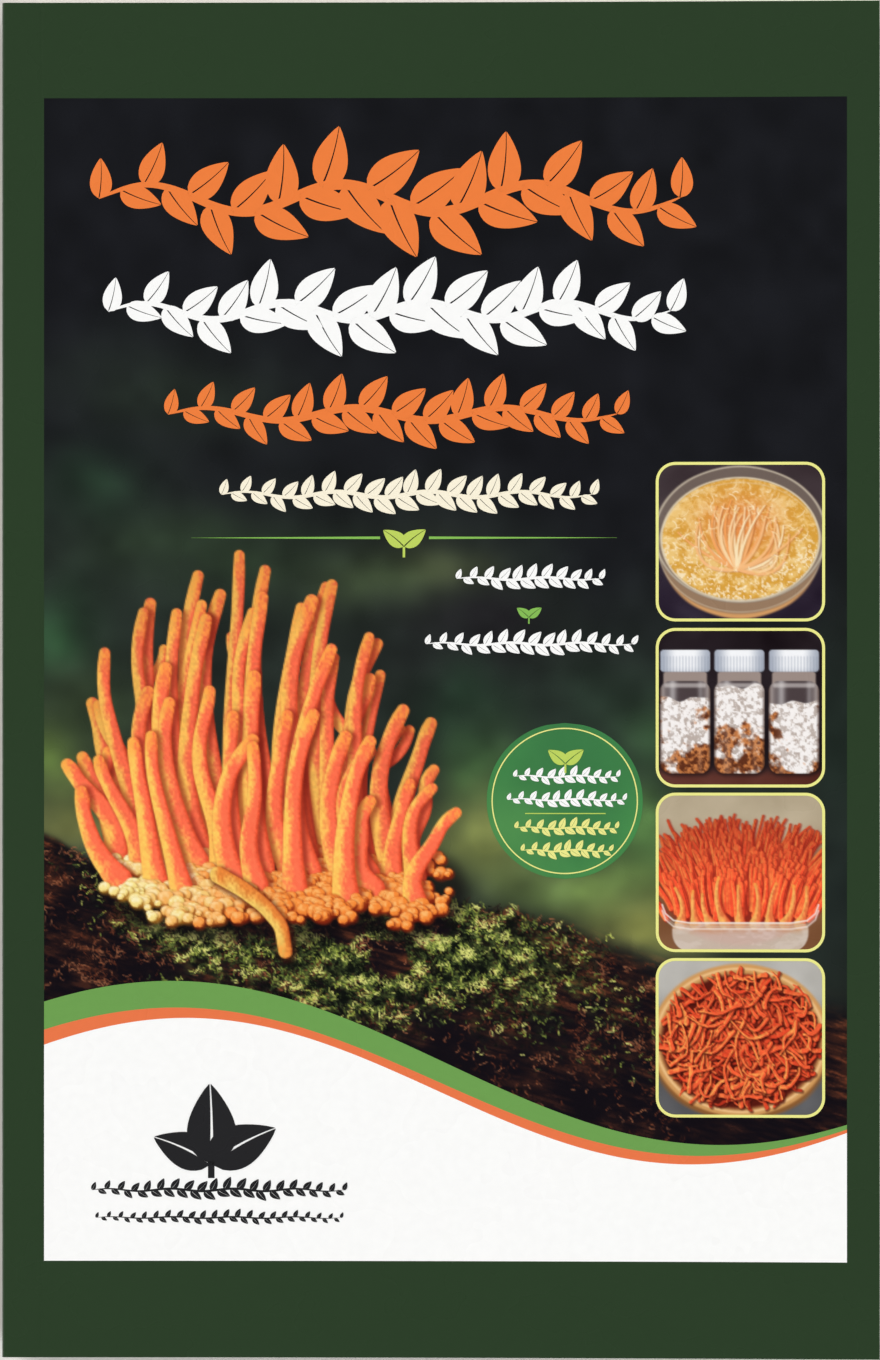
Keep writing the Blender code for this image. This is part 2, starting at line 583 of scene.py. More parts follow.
class Painter:
    """A patch of a printed picture: a net of ink colours, in millimetres from the cover's corner."""

    def __init__(self, left: float, top: float, right: float, bottom: float, pitch: float) -> None:
        """Lays out the net.

        Args:
            left: Its left edge, across.
            top: Its upper edge, down.
            right: Its right edge.
            bottom: Its lower edge.
            pitch: The distance between its points.
        """
        self.columns = round((right - left) / pitch) + 1
        self.rows = round((bottom - top) / pitch) + 1
        self.left, self.top = left, top
        self.step = ((right - left) / (self.columns - 1), (bottom - top) / (self.rows - 1))
        self.across, self.down = np.meshgrid(
            np.linspace(left, right, self.columns), np.linspace(top, bottom, self.rows)
        )
        self.colour = np.zeros((self.rows, self.columns, 3))

    def patch(self, low: Net, high: Net) -> tuple[slice, slice]:
        """The part of the net between two corners.

        Args:
            low: The upper left corner, across and down.
            high: The lower right one.

        Returns:
            The part's rows and columns.
        """
        spans = []
        for axis, start, count in ((1, self.top, self.rows), (0, self.left, self.columns)):
            ends = ((low[axis] - start) / self.step[axis], (high[axis] - start) / self.step[axis] + 2)
            first, last = np.clip(ends, 0, count)
            spans.append(slice(int(first), int(last)))
        return spans[0], spans[1]

    def lay(self, where: tuple[slice, slice], colour: Ground, cover: Net, *place: Net) -> None:
        """Lays a colour, or what a shade gives for the places, by how much of each it covers."""
        self.colour[where] = mix(self.colour[where], colour(*place) if callable(colour) else colour, cover)

    def oval(
        self, centre: Row, radii: Row, colour: Ground,
        edge: float = 0.2, cover: float = 1.0, hollow: float = 0.0,
    ) -> None:
        """Paints an upright oval, or a ring where it is hollow.

        Args:
            centre: Its middle.
            radii: Its half width and half height.
            colour: Its colour, or what gives it for each place from across, down, and the offsets in radii.
            edge: How soft its edge is, in millimetres.
            cover: How much it covers what is under it.
            hollow: The share of the radii that is left open.
        """
        middle, radii = np.asarray(centre, float), np.asarray(radii, float)
        where = self.patch(middle - radii - edge, middle + radii + edge)
        x, y = self.across[where], self.down[where]
        if not x.size:
            return
        side, drop = (x - middle[0]) / radii[0], (y - middle[1]) / radii[1]
        out = np.hypot(side, drop)
        soft = edge / radii.min()
        share = cover * (1.0 - ease(1.0 - soft, 1.0 + soft, out))
        if hollow:
            share = share * ease(hollow - soft, hollow + soft, out)
        self.lay(where, colour, share, x, y, side, drop)

    def block(
        self, centre: Row, half: Row, corner: float, colour: Ground,
        edge: float = 0.15, cover: float = 1.0,
    ) -> None:
        """Paints an upright block with rounded corners.

        Args:
            centre: Its middle.
            half: Its half width and half height.
            corner: The radius of its corners, in millimetres.
            colour: Its colour, or what gives it for each place from across, down, and the offsets in halves.
            edge: How soft its edge is, in millimetres.
            cover: How much it covers what is under it.
        """
        middle, half = np.asarray(centre, float), np.asarray(half, float)
        where = self.patch(middle - half - edge, middle + half + edge)
        x, y = self.across[where], self.down[where]
        out = np.maximum(np.abs(np.stack([x - middle[0], y - middle[1]], -1)) - (half - corner), 0.0)
        share = cover * (1.0 - ease(-edge, edge, np.hypot(out[..., 0], out[..., 1]) - corner))
        self.lay(where, colour, share, x, y, (x - middle[0]) / half[0], (y - middle[1]) / half[1])

    def limb(
        self, path: Net, girth: Net, shade: Ground, edge: float = 0.2, cover: float = 1.0,
        on_warm: bool = False,
    ) -> None:
        """Paints a round limb that follows a path.

        Args:
            path: Points along its middle.
            girth: Its half thickness at each.
            shade: Its colour, or what gives it from across, down, the offset to the side and down in
                girths, and the share of the way along.
            edge: How soft its edge is, in millimetres.
            cover: How much it covers what is under it.
            on_warm: Whether it falls on warm ink only, as the shade between two clubs does.
        """
        reach = girth.max() + edge
        where = self.patch(path.min(0) - reach, path.max(0) + reach)
        x, y = self.across[where], self.down[where]
        if not x.size:
            return
        run = path[1:] - path[:-1]
        from_x, from_y = x[..., None] - path[:-1, 0], y[..., None] - path[:-1, 1]
        t = np.clip((from_x * run[:, 0] + from_y * run[:, 1]) / (run ** 2).sum(1), 0.0, 1.0)
        from_x, from_y = from_x - t * run[:, 0], from_y - t * run[:, 1]
        thick = girth[:-1] + t * (girth[1:] - girth[:-1])
        gap = np.hypot(from_x, from_y) - thick
        best = gap.argmin(-1)[..., None]
        gap, thick, t, from_x, from_y = (
            np.take_along_axis(values, best, -1)[..., 0] for values in (gap, thick, t, from_x, from_y)
        )
        along = (best[..., 0] + t) / len(run)
        share = cover * (1.0 - ease(-edge, edge, gap))
        if on_warm:
            under = self.colour[where]
            share = share * ease(0.1, 0.4, under[..., 0] - under[..., 2])
        if share.max() > 0.004:
            self.lay(where, shade, share, x, y, from_x / thick, from_y / thick, along)

    def film(self, name: str, layer: Layer, thickness: float, corner: float = 0.0) -> Mesh:
        """Turns the net into a film of ink on the book.

        Args:
            name: The mesh's name.
            layer: The layer that it is printed in.
            thickness: How thick it is, in metres.
            corner: The radius of its rounded corners, in millimetres.

        Returns:
            The mesh, with the painted colours on its vertices.
        """
        across = self.across
        if corner:
            middle = (across[0, 0] + across[0, -1]) / 2.0
            half = across[0, -1] - middle
            inside = np.minimum(self.down - self.down[0, 0], self.down[-1, 0] - self.down)
            short = np.clip(corner - inside, 0.0, corner)
            pulled = half - corner + np.sqrt(corner ** 2 - short ** 2)
            across = middle + (across - middle) * pulled / half
        mesh = film_mesh(name, layer.face.spot(across, self.down, layer.lift), thickness)
        map_bake(mesh, self.rows, self.columns)
        inner = np.zeros((self.rows, self.columns), bool)
        inner[1:-1, 1:-1] = True
        colours = np.concatenate([self.colour.reshape(-1, 3), self.colour[~inner]])
        set_vertex_colours(mesh, linear(colours))
        return mesh


def bow(start: Row, end: Row, sideways: float, points: int = 14) -> Net:
    """A curved path between two points, which bows to one side by a distance.

    Args:
        start: The first point.
        end: The last point.
        sideways: How far its middle bows out.
        points: How many points it has.

    Returns:
        The path.
    """
    start, end = np.asarray(start, float), np.asarray(end, float)
    run = end - start
    handle = (start + end) / 2.0 + np.array((-run[1], run[0])) / np.hypot(*run) * sideways * 2.0
    t = np.linspace(0.0, 1.0, points)[:, None]
    return (1 - t) ** 2 * start + 2 * t * (1 - t) * handle + t ** 2 * end


@dataclass(frozen=True)
class Flesh:
    """The printed look of a club fungus: coral flesh, golden on its lit side and deeper in shade."""

    deep: str = "#D84A2C"
    body: str = "#FF6E4C"
    glow: str = "#FFC35C"
    tip: str = "#F89C44"
    noise: Noise = field(default_factory=lambda: Noise(31))

    def shade(self, warmth: float = 0.0, dim: float = 1.0) -> Shade:
        """What paints the flesh.

        Args:
            warmth: How far the glow reaches over the body.
            dim: How bright the whole is.

        Returns:
            The shade, for a limb.
        """
        def paint(x: Net, y: Net, side: Net, drop: Net, along: Net) -> Net:
            """The flesh's colours."""
            facing = np.sqrt(np.clip(1.0 - side ** 2 - drop ** 2, 0.0, 1.0))
            spots = self.noise.cloud(x * 0.5 + 11.0 * warmth, y * 0.2, 3) - 0.5
            pores = self.noise.at(x * 3.1, y * 2.6) - 0.5
            light = 0.62 * facing - 0.5 * side - 0.18 * drop + 0.10 * pores
            tone = mix(self.deep, self.body, ease(-0.28, 0.34, light))
            lit = ease(0.05, 1.05, 0.34 - 0.95 * side + 1.4 * spots + warmth + 0.4 * pores)
            tone = mix(tone, self.glow, 0.95 * lit * ease(-0.3, 0.3, light))
            end = ease(0.84, 1.0, along) * (0.55 + 0.8 * pores)
            tone = mix(tone, self.tip, np.clip(end, 0.0, 0.8))
            return np.clip(tone * (dim * (0.97 + 0.1 * pores))[..., None], 0.0, 1.0)

        return paint


# ---- cover picture


@dataclass(frozen=True)
class Glow:
    """A soft, out-of-focus patch of light in a picture's background, in millimetres."""

    across: float
    down: float
    wide: float
    tall: float
    colour: str
    strength: float


@dataclass(frozen=True)
class Lobe:
    """One lump of the knobbly cushion that the clubs grow from, in millimetres."""

    across: float
    down: float
    wide: float
    tall: float
    knobs: int


@dataclass(frozen=True)
class Club:
    """One club of the clump: its path, its girth along it, its warmth and its brightness."""

    path: Net
    girth: Net
    warmth: float
    dim: float


@dataclass
class ForestPicture:
    """The cover's main picture: a clump of orange club fungi on a mossy log, before a dim wood.

    Attributes:
        top: Where the picture begins, down from the head.
        ground: The log's upper edge, as points across and down.
        heart: Where the clump stands, across.
        reach: How far it spreads to each side.
        foot: How far down its farthest clubs stand.
        crest: How far down its highest tip is.
        seed: Sets the arrangement.
        glows: The patches of light in the wood.
        lobes: The lumps of the cushion.
    """

    top: float = 15.24
    ground: Sequence[tuple[float, float]] = (
        (6.0, 132.0), (12.0, 135.5), (18.0, 140.0), (34.0, 145.0), (56.0, 146.0), (68.0, 143.0),
        (80.0, 144.5), (91.0, 147.5), (104.0, 152.8), (118.0, 157.0), (136.0, 161.0),
    )
    heart: float = 42.0
    reach: float = 25.5
    foot: float = 132.5
    crest: float = 88.0
    seed: int = 5
    glows: Sequence[Glow] = tuple(Glow(*row) for row in (
        (26.0, 62.0, 24.0, 10.0, "#252D27", 0.8), (14.0, 78.0, 9.0, 7.0, "#2A4230", 0.6),
        (33.0, 88.0, 22.0, 7.0, "#30412D", 0.7), (62.0, 92.0, 13.0, 6.0, "#47573A", 0.75),
        (72.0, 90.0, 8.0, 5.0, "#59613F", 0.5), (9.5, 100.0, 7.0, 7.0, "#38603E", 0.75),
        (13.0, 112.0, 12.0, 8.0, "#3C4C31", 0.75), (11.0, 124.5, 9.0, 6.0, "#6B7C45", 0.8),
        (13.0, 131.5, 12.0, 4.5, "#8C8F50", 0.7), (8.0, 119.0, 5.0, 5.0, "#66803F", 0.6),
        (76.0, 101.0, 14.0, 9.0, "#211F23", 0.9), (74.0, 112.0, 8.0, 8.0, "#24382A", 0.8),
        (76.0, 122.0, 6.0, 8.0, "#456B3D", 0.8), (78.0, 133.0, 10.0, 9.0, "#79824A", 0.95),
        (96.0, 141.0, 18.0, 6.5, "#76914F", 0.9), (102.0, 132.0, 7.0, 8.0, "#5F8A4A", 0.75),
        (103.0, 148.0, 12.0, 5.0, "#8B8F4C", 0.9), (96.0, 112.0, 16.0, 9.0, "#26332A", 0.7),
        (103.0, 118.0, 7.0, 6.0, "#3C5B3B", 0.7), (133.5, 118.0, 6.0, 16.0, "#1F2A24", 0.7),
        (133.5, 140.0, 6.0, 12.0, "#1D2422", 0.85),
    ))
    lobes: Sequence[Lobe] = tuple(Lobe(*row) for row in (
        (22.0, 138.0, 5.2, 5.8, 70), (27.0, 142.2, 5.6, 4.2, 62), (34.0, 143.6, 5.4, 3.6, 54),
        (31.0, 137.0, 7.0, 3.4, 36), (41.0, 142.0, 5.0, 4.4, 50), (47.5, 142.2, 5.0, 5.4, 66),
        (53.5, 141.5, 4.6, 4.8, 54), (44.0, 136.5, 9.0, 3.6, 40), (58.0, 137.6, 4.6, 4.6, 40),
        (62.8, 142.6, 3.9, 5.0, 50), (67.2, 140.4, 4.2, 5.4, 54),
    ))

    def __post_init__(self) -> None:
        """Draws the noises and the clump's arrangement."""
        self.noise = Noise(self.seed)
        self.flesh = Flesh()
        self.draw = np.random.default_rng(self.seed)
        self.clubs = self.arrange()

    def ground_at(self, across: Net) -> Net:
        """How far down the log's upper edge is."""
        edge = np.interp(across, *np.array(self.ground).T)
        return edge + 1.6 * (self.noise.cloud(across * 0.35, across * 0.0 + 3.0, 3) - 0.5)

    def wood(self, painter: Painter) -> None:
        """Paints the dim wood behind: charcoal above, soft greens below.

        Args:
            painter: The patch to paint.
        """
        x, y = painter.across, painter.down
        haze = self.noise.cloud(x * 0.05, y * 0.05, 3)
        colour = mix("#18191D", "#232A26", ease(56.0, 98.0, y + 26.0 * (haze - 0.5) - 0.18 * x))
        blur = 5.0 * (self.noise.cloud(x * 0.07, y * 0.07 + 31.0, 2) - 0.5)
        for glow in self.glows:
            near = ((x - glow.across + blur) / glow.wide) ** 2 + ((y - glow.down - blur) / glow.tall) ** 2
            uneven = 0.55 + 0.9 * self.noise.cloud(x * 0.11 + glow.across, y * 0.14 + glow.down, 3)
            strength = np.exp(-1.3 * near) * glow.strength * uneven
            colour = mix(colour, glow.colour, np.clip(strength, 0.0, 1.0))
        mottle = self.noise.cloud(x * 0.17, y * 0.17 + 7.0, 2)
        painter.colour[:] = np.clip(colour * (0.78 + 0.46 * mottle)[..., None], 0.0, 1.0)

    def bark(self, painter: Painter) -> None:
        """Paints the log: dark, rotten wood with its fibres along it.

        Args:
            painter: The patch to paint.
        """
        x, y = painter.across, painter.down
        edge = self.ground_at(x)
        if (y < edge - 6.0).all():
            return
        lean = 0.30
        along, through = x + lean * y, y - lean * x
        fibres = self.noise.cloud(along * 0.30, through * 1.7, 4)
        lumps = self.noise.cloud(x * 0.14 + 40.0, y * 0.2, 3)
        red = ease(0.45, 0.62, lumps)
        tone = mix("#120D13", "#3B2019", ease(0.4, 0.72, fibres * 0.55 + lumps * 0.45))
        tone = mix(tone, "#7A4028", ease(0.56, 0.8, fibres) * red * 0.8)
        # The log's far side, to the right, is out of focus.
        soft = 0.7 + 2.4 * ease(72.0, 100.0, x)
        cover = 1.0 / (1.0 + np.exp(-(y - edge) / soft * 3.0))
        dark = mix(tone, "#100C13", 0.62 * ease(9.0, 24.0, y - edge))
        painter.colour[:] = mix(painter.colour, dark, cover)

    def strands(
        self, painter: Painter, count: int, length: Row, colours: Sequence[str],
        keep: Callable[[Net, Net], Net], upright: float, seed: int, thick: float,
    ) -> None:
        """Paints many short fibres, such as moss or rotten wood.

        Args:
            painter: The patch to paint.
            count: How many are drawn before thinning.
            length: The least and the most length.
            colours: Their colours, from those in shade to those in light.
            keep: The share of them that stays, for places across and down.
            upright: 1 where they all point up, 0 where they lie along the log.
            seed: Sets their places.
            thick: Their half thickness.
        """
        draw = np.random.default_rng(seed)
        x = draw.uniform(6.0, 112.0, count)
        y = draw.uniform(134.0, 182.0, count)
        drawn = draw.random((count, 5))
        stay = np.flatnonzero(drawn[:, 0] < keep(x, y))
        tones = np.array([srgb(code) for code in colours])
        # The light falls from above, so a lump of growth is light where it rises and dark beneath.
        rise = self.noise.cloud(x * 0.42, y * 0.42, 3) - self.noise.cloud(x * 0.42, y * 0.42 - 0.55, 3)
        for i in stay[np.argsort(y[stay])]:
            size = length[0] + (length[1] - length[0]) * drawn[i, 1]
            angle = mix_angle(upright, drawn[i, 2])
            end = (x[i] + size * math.cos(angle), y[i] - size * math.sin(angle))
            light = np.clip(0.44 - 2.8 * rise[i] + 0.8 * (drawn[i, 3] - 0.5), 0.0, 0.999) * (len(tones) - 1)
            tone = tones[int(light)] + (tones[int(light) + 1] - tones[int(light)]) * (light % 1.0)
            path = bow((x[i], y[i]), end, (drawn[i, 4] - 0.5) * size * 0.7, 4)
            painter.limb(path, np.linspace(thick, thick * 0.6, 4), tone, edge=0.11, cover=0.92)

    def moss(self, painter: Painter) -> None:
        """Paints the fibres and the moss that grow on the log.

        Args:
            painter: The patch to paint.
        """
        noise = self.noise

        def on_log(x: Net, y: Net) -> Net:
            """1 on the log and 0 off it."""
            return ease(-1.2, 0.8, y - self.ground_at(x))

        def fibre_share(x: Net, y: Net) -> Net:
            """The share of the fibres that stays."""
            near = 1.0 - 0.72 * ease(12.0, 26.0, y - self.ground_at(x))
            return on_log(x, y) * near * (0.1 + ease(0.4, 0.62, noise.cloud(x * 0.16, y * 0.2, 3)))

        def moss_share(x: Net, y: Net) -> Net:
            """The share of the moss that stays: a patch before the clump and one under it."""
            below = y - self.ground_at(x)
            heart = np.exp(-(((x - 64.0) / 23.0) ** 2 + ((below - 7.0) / 8.5) ** 2))
            near = np.exp(-(((x - 33.0) / 13.0) ** 2 + ((below - 3.0) / 5.0) ** 2))
            patches = ease(0.40, 0.54, noise.cloud(x * 0.13 + 9.0, y * 0.17, 4))
            return on_log(x, y) * np.clip((heart + 0.9 * near) * 1.8, 0.0, 1.0) * patches

        x, y = painter.across, painter.down
        tufts = noise.cloud(x * 0.9, y * 1.1, 3)
        felt = mix("#0E120D", "#4C5A2C", ease(0.38, 0.72, tufts))
        painter.colour[:] = mix(painter.colour, felt, 0.85 * moss_share(x, y))
        wood = ("#180F13", "#2C1915", "#55291C", "#784029", "#9C6243")
        green = ("#0A0E0A", "#1B2416", "#42502A", "#73843A", "#AFBC4F", "#E6E683")
        self.strands(painter, 16000, (0.5, 1.3), wood, fibre_share, 0.25, seed=21, thick=0.08)
        self.strands(painter, 36000, (0.35, 1.0), green, moss_share, 0.55, seed=22, thick=0.09)

    def arrange(self) -> list[Club]:
        """Sets out the clump's clubs, the far ones first.

        Returns:
            The clubs.
        """
        draw, clubs = self.draw, []
        steps = np.linspace(0.0, 1.0, 20)
        # A club is stout at its foot, slim above, and swells a little under its blunt tip.
        profile = np.interp(steps, (0.0, 0.16, 0.45, 0.8, 0.93, 1.0), (1.6, 1.3, 1.06, 0.86, 0.9, 0.76))
        rows = ((16, 0.0, 0.0, 0.96), (15, 6.0, 2.4, 1.0), (13, 15.0, 5.0, 1.04), (9, 25.0, 8.0, 1.07))
        for count, shorter, nearer, dim in rows:
            places = np.linspace(-1.0, 1.0, count)
            for place in places[draw.permutation(count)]:
                spread = float(np.clip(place + draw.uniform(-0.06, 0.06), -1.0, 1.0))
                foot = np.array((
                    self.heart + spread * self.reach * (0.90 + 0.008 * nearer),
                    self.foot + nearer + 2.0 * max(spread, 0.0) - 3.0 * max(-spread - 0.55, 0.0)
                    + draw.uniform(-0.8, 0.8),
                ))
                fall = 22.0 * (max(-spread - 0.6, 0.0) / 0.4) ** 1.5
                fall += 19.0 * (max(spread - 0.3, 0.0) / 0.7) ** 1.2
                tip = np.array((
                    foot[0] + 4.0 * spread - 0.6 + 3.0 * min(spread + 0.5, 0.0) + draw.uniform(-2.6, 3.2),
                    min(self.crest + fall + shorter + draw.uniform(0.0, 13.0), foot[1] - 14.0),
                ))
                # Most clubs swing out to the left on their way up, and come back at the tip.
                swing = -draw.uniform(0.4, 3.4) + 6.0 * max(-spread - 0.5, 0.0)
                path = bow(foot, tip, swing, 20)
                path[:, 0] += draw.uniform(-0.7, 0.7) * np.sin(steps * math.pi * draw.uniform(1.4, 2.8))
                path[:, 0] += draw.uniform(-0.4, 1.7) * ease(0.72, 1.15, steps)
                girth = draw.uniform(1.08, 1.42) * profile
                warmth = draw.uniform(-0.3, 0.14) - 0.16 * spread + 0.1 * (nearer < 4.0)
                clubs.append(Club(path, girth, warmth, dim))
                if draw.random() < 0.2:
                    side = 1.0 if draw.random() < 0.7 else -1.0
                    knee = path[13]
                    reach = (side * draw.uniform(3.0, 5.0), -draw.uniform(5.0, 8.5))
                    arm = bow(knee, knee + reach, side, 10)
                    clubs.append(Club(arm, np.linspace(0.95, 0.78, 10) * girth[14], warmth, dim))
        return clubs

    def knobs(self) -> list[tuple[float, float, float, float]]:
        """Sets out the cushion's knobs: across, down, size and how sunny each is.

        Returns:
            The knobs.
        """
        draw, knobs = np.random.default_rng(self.seed + 36), []
        for lobe in self.lobes:
            for _ in range(lobe.knobs):
                turn, far = draw.uniform(0.0, TAU), math.sqrt(draw.random())
                x = lobe.across + lobe.wide * far * math.cos(turn)
                y = lobe.down + lobe.tall * far * math.sin(turn)
                sunny = np.clip(1.1 - (x - 19.0) / 20.0 + draw.uniform(-0.3, 0.3), 0.0, 1.0)
                knobs.append((x, y, draw.uniform(0.5, 1.35) * (1.15 - 0.35 * far), float(sunny)))
        for club in self.clubs:
            if club.path[0, 1] > self.foot + 1.2 and club.girth[0] > 1.4:
                for side in (-1.2, -0.5, 0.3, 1.1):
                    x = club.path[0, 0] + side * club.girth[0] + draw.uniform(-0.3, 0.3)
                    y = club.path[0, 1] + 1.5 - 0.5 * abs(side) + draw.uniform(0.0, 0.7)
                    sunny = np.clip(1.1 - (x - 19.0) / 20.0 + draw.uniform(-0.3, 0.3), 0.0, 1.0)
                    knobs.append((x, y, draw.uniform(0.7, 1.15), float(sunny)))
        return knobs

    def knob(self, painter: Painter, x: float, y: float, size: float, sunny: float) -> None:
        """Paints one knob of the cushion, with the crease round it.

        Args:
            painter: The patch to paint.
            x: Its middle, across.
            y: Its middle, down.
            size: Its radius.
            sunny: How golden it is, from 0 to 1.
        """
        skin = mix("#F68A38", "#F8E08A", sunny)
        crease = mix("#82250F", "#A06A22", sunny)
        light_tone = mix("#FFC277", "#FFF7CF", sunny)
        grain = self.noise

        def paint(x_: Net, y_: Net, side: Net, drop: Net, _: Net) -> Net:
            """The knob's colours."""
            facing = np.sqrt(np.clip(1.0 - side ** 2 - drop ** 2, 0.0, 1.0))
            light = 0.72 * facing - 0.42 * side - 0.5 * drop + 0.5 * (grain.at(x_ * 2.6, y_ * 2.6) - 0.5)
            return mix(mix(crease, skin, ease(-0.35, 0.4, light)), light_tone, 0.85 * ease(0.5, 1.15, light))

        spot = np.array(((x, y), (x + size * 0.25, y)))
        painter.limb(spot + (0.12, 0.22), np.array((size, size)) + 0.16, crease, edge=0.3, cover=0.55)
        painter.limb(spot, np.array((size, size)), paint, edge=0.15)

    def clump(self, painter: Painter) -> None:
        """Paints the clump from back to front, its clubs and its knobs by how near they stand.

        Args:
            painter: The patch to paint.
        """
        order: list[tuple[float, Callable[[], None]]] = []

        def club(item: Club) -> None:
            """Paints one club. It darkens what is just behind it, more on its right, away from the light."""
            shade = item.path + (0.5, 0.25)
            painter.limb(shade, item.girth + 0.3, "#7A1E14", edge=0.55, cover=0.6, on_warm=True)
            painter.limb(item.path, item.girth, self.flesh.shade(item.warmth, item.dim), edge=0.15)

        for item in self.clubs:
            # A side arm starts high up, and stands as near as the clump's foot.
            start = item.path[0, 1]
            near = start if start > self.foot - 4.0 else self.foot
            order.append((near, lambda item=item: club(item)))
        for spot in self.knobs():
            order.append((spot[1] - 0.6, lambda spot=spot: self.knob(painter, *spot)))
        for _, paint in sorted(order, key=lambda entry: entry[0]):
            paint()
        droop = np.array(((34.5, 139.0), (38.5, 141.3), (42.0, 144.0), (44.6, 147.2), (45.2, 151.2)))
        steps = np.linspace(0, 4, 24)
        smooth = np.stack([np.interp(steps, range(5), droop[:, axis]) for axis in (0, 1)], -1)
        smooth[1:-1] = (smooth[:-2] + smooth[1:-1] + smooth[2:]) / 3.0
        girth = np.linspace(1.35, 1.1, 24)
        painter.limb(smooth + (0.4, 0.4), girth + 0.35, "#3A140E", edge=0.6, cover=0.6)
        pale = Flesh(body="#F08A3C", glow="#FBD069", deep="#B5491F")
        painter.limb(smooth, girth, pale.shade(0.15), edge=0.15)

    def shadow(self, painter: Painter) -> None:
        """Darkens the log just under the clump."""
        for lobe in self.lobes:
            middle, radii = (lobe.across + 0.6, lobe.down + 1.6), (lobe.wide + 2.0, lobe.tall + 1.0)
            painter.oval(middle, radii, "#0E090D", edge=1.6, cover=0.55)

    def paint(self, painter: Painter) -> Painter:
        """Paints everything that falls in a patch.

        Args:
            painter: The patch to paint.

        Returns:
            The patch.
        """
        self.wood(painter)
        self.bark(painter)
        if painter.step[0] < 0.5:
            self.moss(painter)
            self.shadow(painter)
            if painter.left < self.heart + self.reach + 4.0:
                self.clump(painter)
        return painter


def mix_angle(upright: float, share: float) -> float:
    """An angle from the page's right, drawn round straight up by how upright a strand is."""
    return math.radians(90.0 + (share - 0.5) * 2.0 * (170.0 - 110.0 * upright) - 22.0 * (1.0 - upright))


# ---- small pictures


class Specimen(Enum):
    """What each small framed picture shows."""

    DISH = "culture_dish"
    JARS = "culture_jars"
    TUB = "fruiting_tub"
    BOWL = "dried_bowl"


